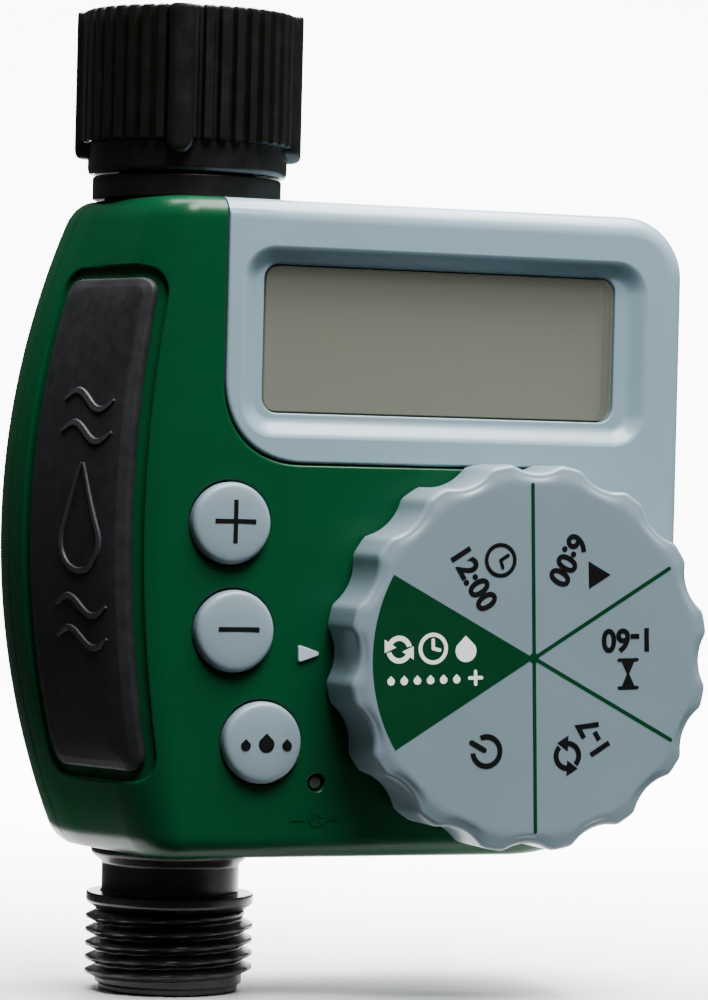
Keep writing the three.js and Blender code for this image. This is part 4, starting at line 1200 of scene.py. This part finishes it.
# ---- Springs ----
def coil(node, axis, wire, turns):
    """A round wire wound to fill a node's box, about an axis through the box's middle."""
    low, high = box_mm(node)
    middle = (low + high) / 2
    run = "xyz".index(axis)
    reach = (high.y - low.y) / 2 - wire
    steps, sides = turns * 28, 10
    rings = []
    for i in range(steps + 1):
        angle = TURN * turns * i / steps
        along = low[run] + wire + (high[run] - low[run] - 2 * wire) * i / steps
        ring = []
        for k in range(sides):
            out = reach + wire * cos(TURN * k / sides)
            u, v = out * cos(angle), out * sin(angle)
            w = along + wire * sin(TURN * k / sides)
            places = {"x": (w, middle.y + u, middle.z + v), "z": (middle.x + u, middle.y + v, w)}
            ring.append(places[axis])
        rings.append(ring)
    made = loft("coil", rings)
    return finished(made, node + "_coil", STEEL, "housing", node, angle=60, weighted=False)


def add_springs():
    spring = coil("plunger_spring", "x", 0.25, 5)
    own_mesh(spring)
    for node in ("battery_spring_1", "battery_spring_2"):
        coil(node, "z", 0.4, 4)


def add_fittings():
    finished(swivel_nut(), "swivel_nut_ribbed", BLACK, "nut", "swivel_nut", angle=38)
    finished(valve_body(), "valve_body_spouts", BLACK, "housing", "valve_body", angle=38)


# ---- Rear of the case and the battery bay ----
SCREW_HEAD = 1.7
RECESS_DEEP = 0.9
CELL_BUTTON = 1.3  # how far a cell's bare end stands out of its can


def battery_door():
    low, high = box_mm("battery_box")
    pin_low, pin_high = box_mm("battery_door_pin")
    hinge = (pin_low + pin_high) / 2
    outline = (low.x - 0.4, high.x + 0.4, low.z - 0.4, high.z + 0.4, 1.8)
    parts = [slab_y(lambda grow: rounded_box(*outline, grow), REAR - WALL, REAR, 0, 0.4)]
    for start, end in KNUCKLES:
        parts.append(bar("z", 1.75, start, end, (hinge.x, hinge.y, 0)))
        parts.append(box(hinge.x, low.x + 1, REAR - WALL, REAR - 0.05, start, end))
    grips = [bar("z", 0.55, -78, -67, (high.x - 4.2 + 1.4 * i, REAR + 0.1, 0), 24) for i in range(3)]
    return cut(join(*parts), bar("z", 1.1, low.z - 1, high.z + 1, (hinge.x, hinge.y, 0), 24), *grips)


def pan_screw(node):
    """A screw from its node's box: domed head with a cross recess, towards +Y, on a plain shank."""
    low, high = box_mm(node)
    x, z = centre_xz(node)
    head = (high.x - low.x) / 2
    seat = high.y - SCREW_HEAD
    shank = [(head / 2, low.y), (head / 2, seat), (head, seat)]
    dome = [(1, 0.95), (0.93, 1.3), (0.75, 1.55), (0.45, 1.68)]
    profile = shank + [(head * share, seat + rise) for share, rise in dome] + [(0.2, high.y)]
    arm, half = head * 0.62, head * 0.13
    floor = high.y - RECESS_DEEP
    return cut(
        turned(profile, 48, "y", (x, 0, z)),
        box(x - arm, x + arm, floor, high.y + 1, z - half, z + half),
        box(x - half, x + half, floor, high.y + 1, z - arm, z + arm),
    )


def battery_cell(node, button_up):
    """A wrapped can with rolled ends, and the bare steel button that shows at one end."""
    low, high = box_mm(node)
    x, y = (low.x + high.x) / 2, (low.y + high.y) / 2
    radius = (high.x - low.x) / 2
    length = high.z - low.z - CELL_BUTTON
    can = [(radius - 0.9, 0), (radius - 0.35, 0.08), (radius, 0.5), (radius, length - 0.6),
           (radius - 0.4, length - 0.12), (radius - 1.4, length)]
    tip = [(2.7, length - 0.2), (2.7, length + 0.95), (2.4, length + 1.22), (0.3, length + CELL_BUTTON)]
    start, way = (low.z, 1) if button_up else (high.z, -1)

    def made(profile, sides):
        return turned([(r, start + way * along) for r, along in profile], sides, "z", (x, y, 0))

    return made(can, 64), made(tip, 40)


def add_rear():
    finished(battery_door(), "battery_door_leaf", GREEN, "door", "battery_door")
    for node in CASE_SCREWS + BOARD_SCREWS:
        finished(pan_screw(node), node + "_head", STEEL, "housing", node)
    for node, button_up in (("battery_cell_1", True), ("battery_cell_2", False)):
        can, tip = battery_cell(node, button_up)
        finished(can, node + "_can", WRAP, "housing", node)
        finished(tip, node + "_button", STEEL, "housing")


add_camera()
add_floor()
add_light()
finish_cad_nodes()
add_housing()
add_dial()
add_buttons()
add_marks()
add_fittings()
add_rear()
add_springs()
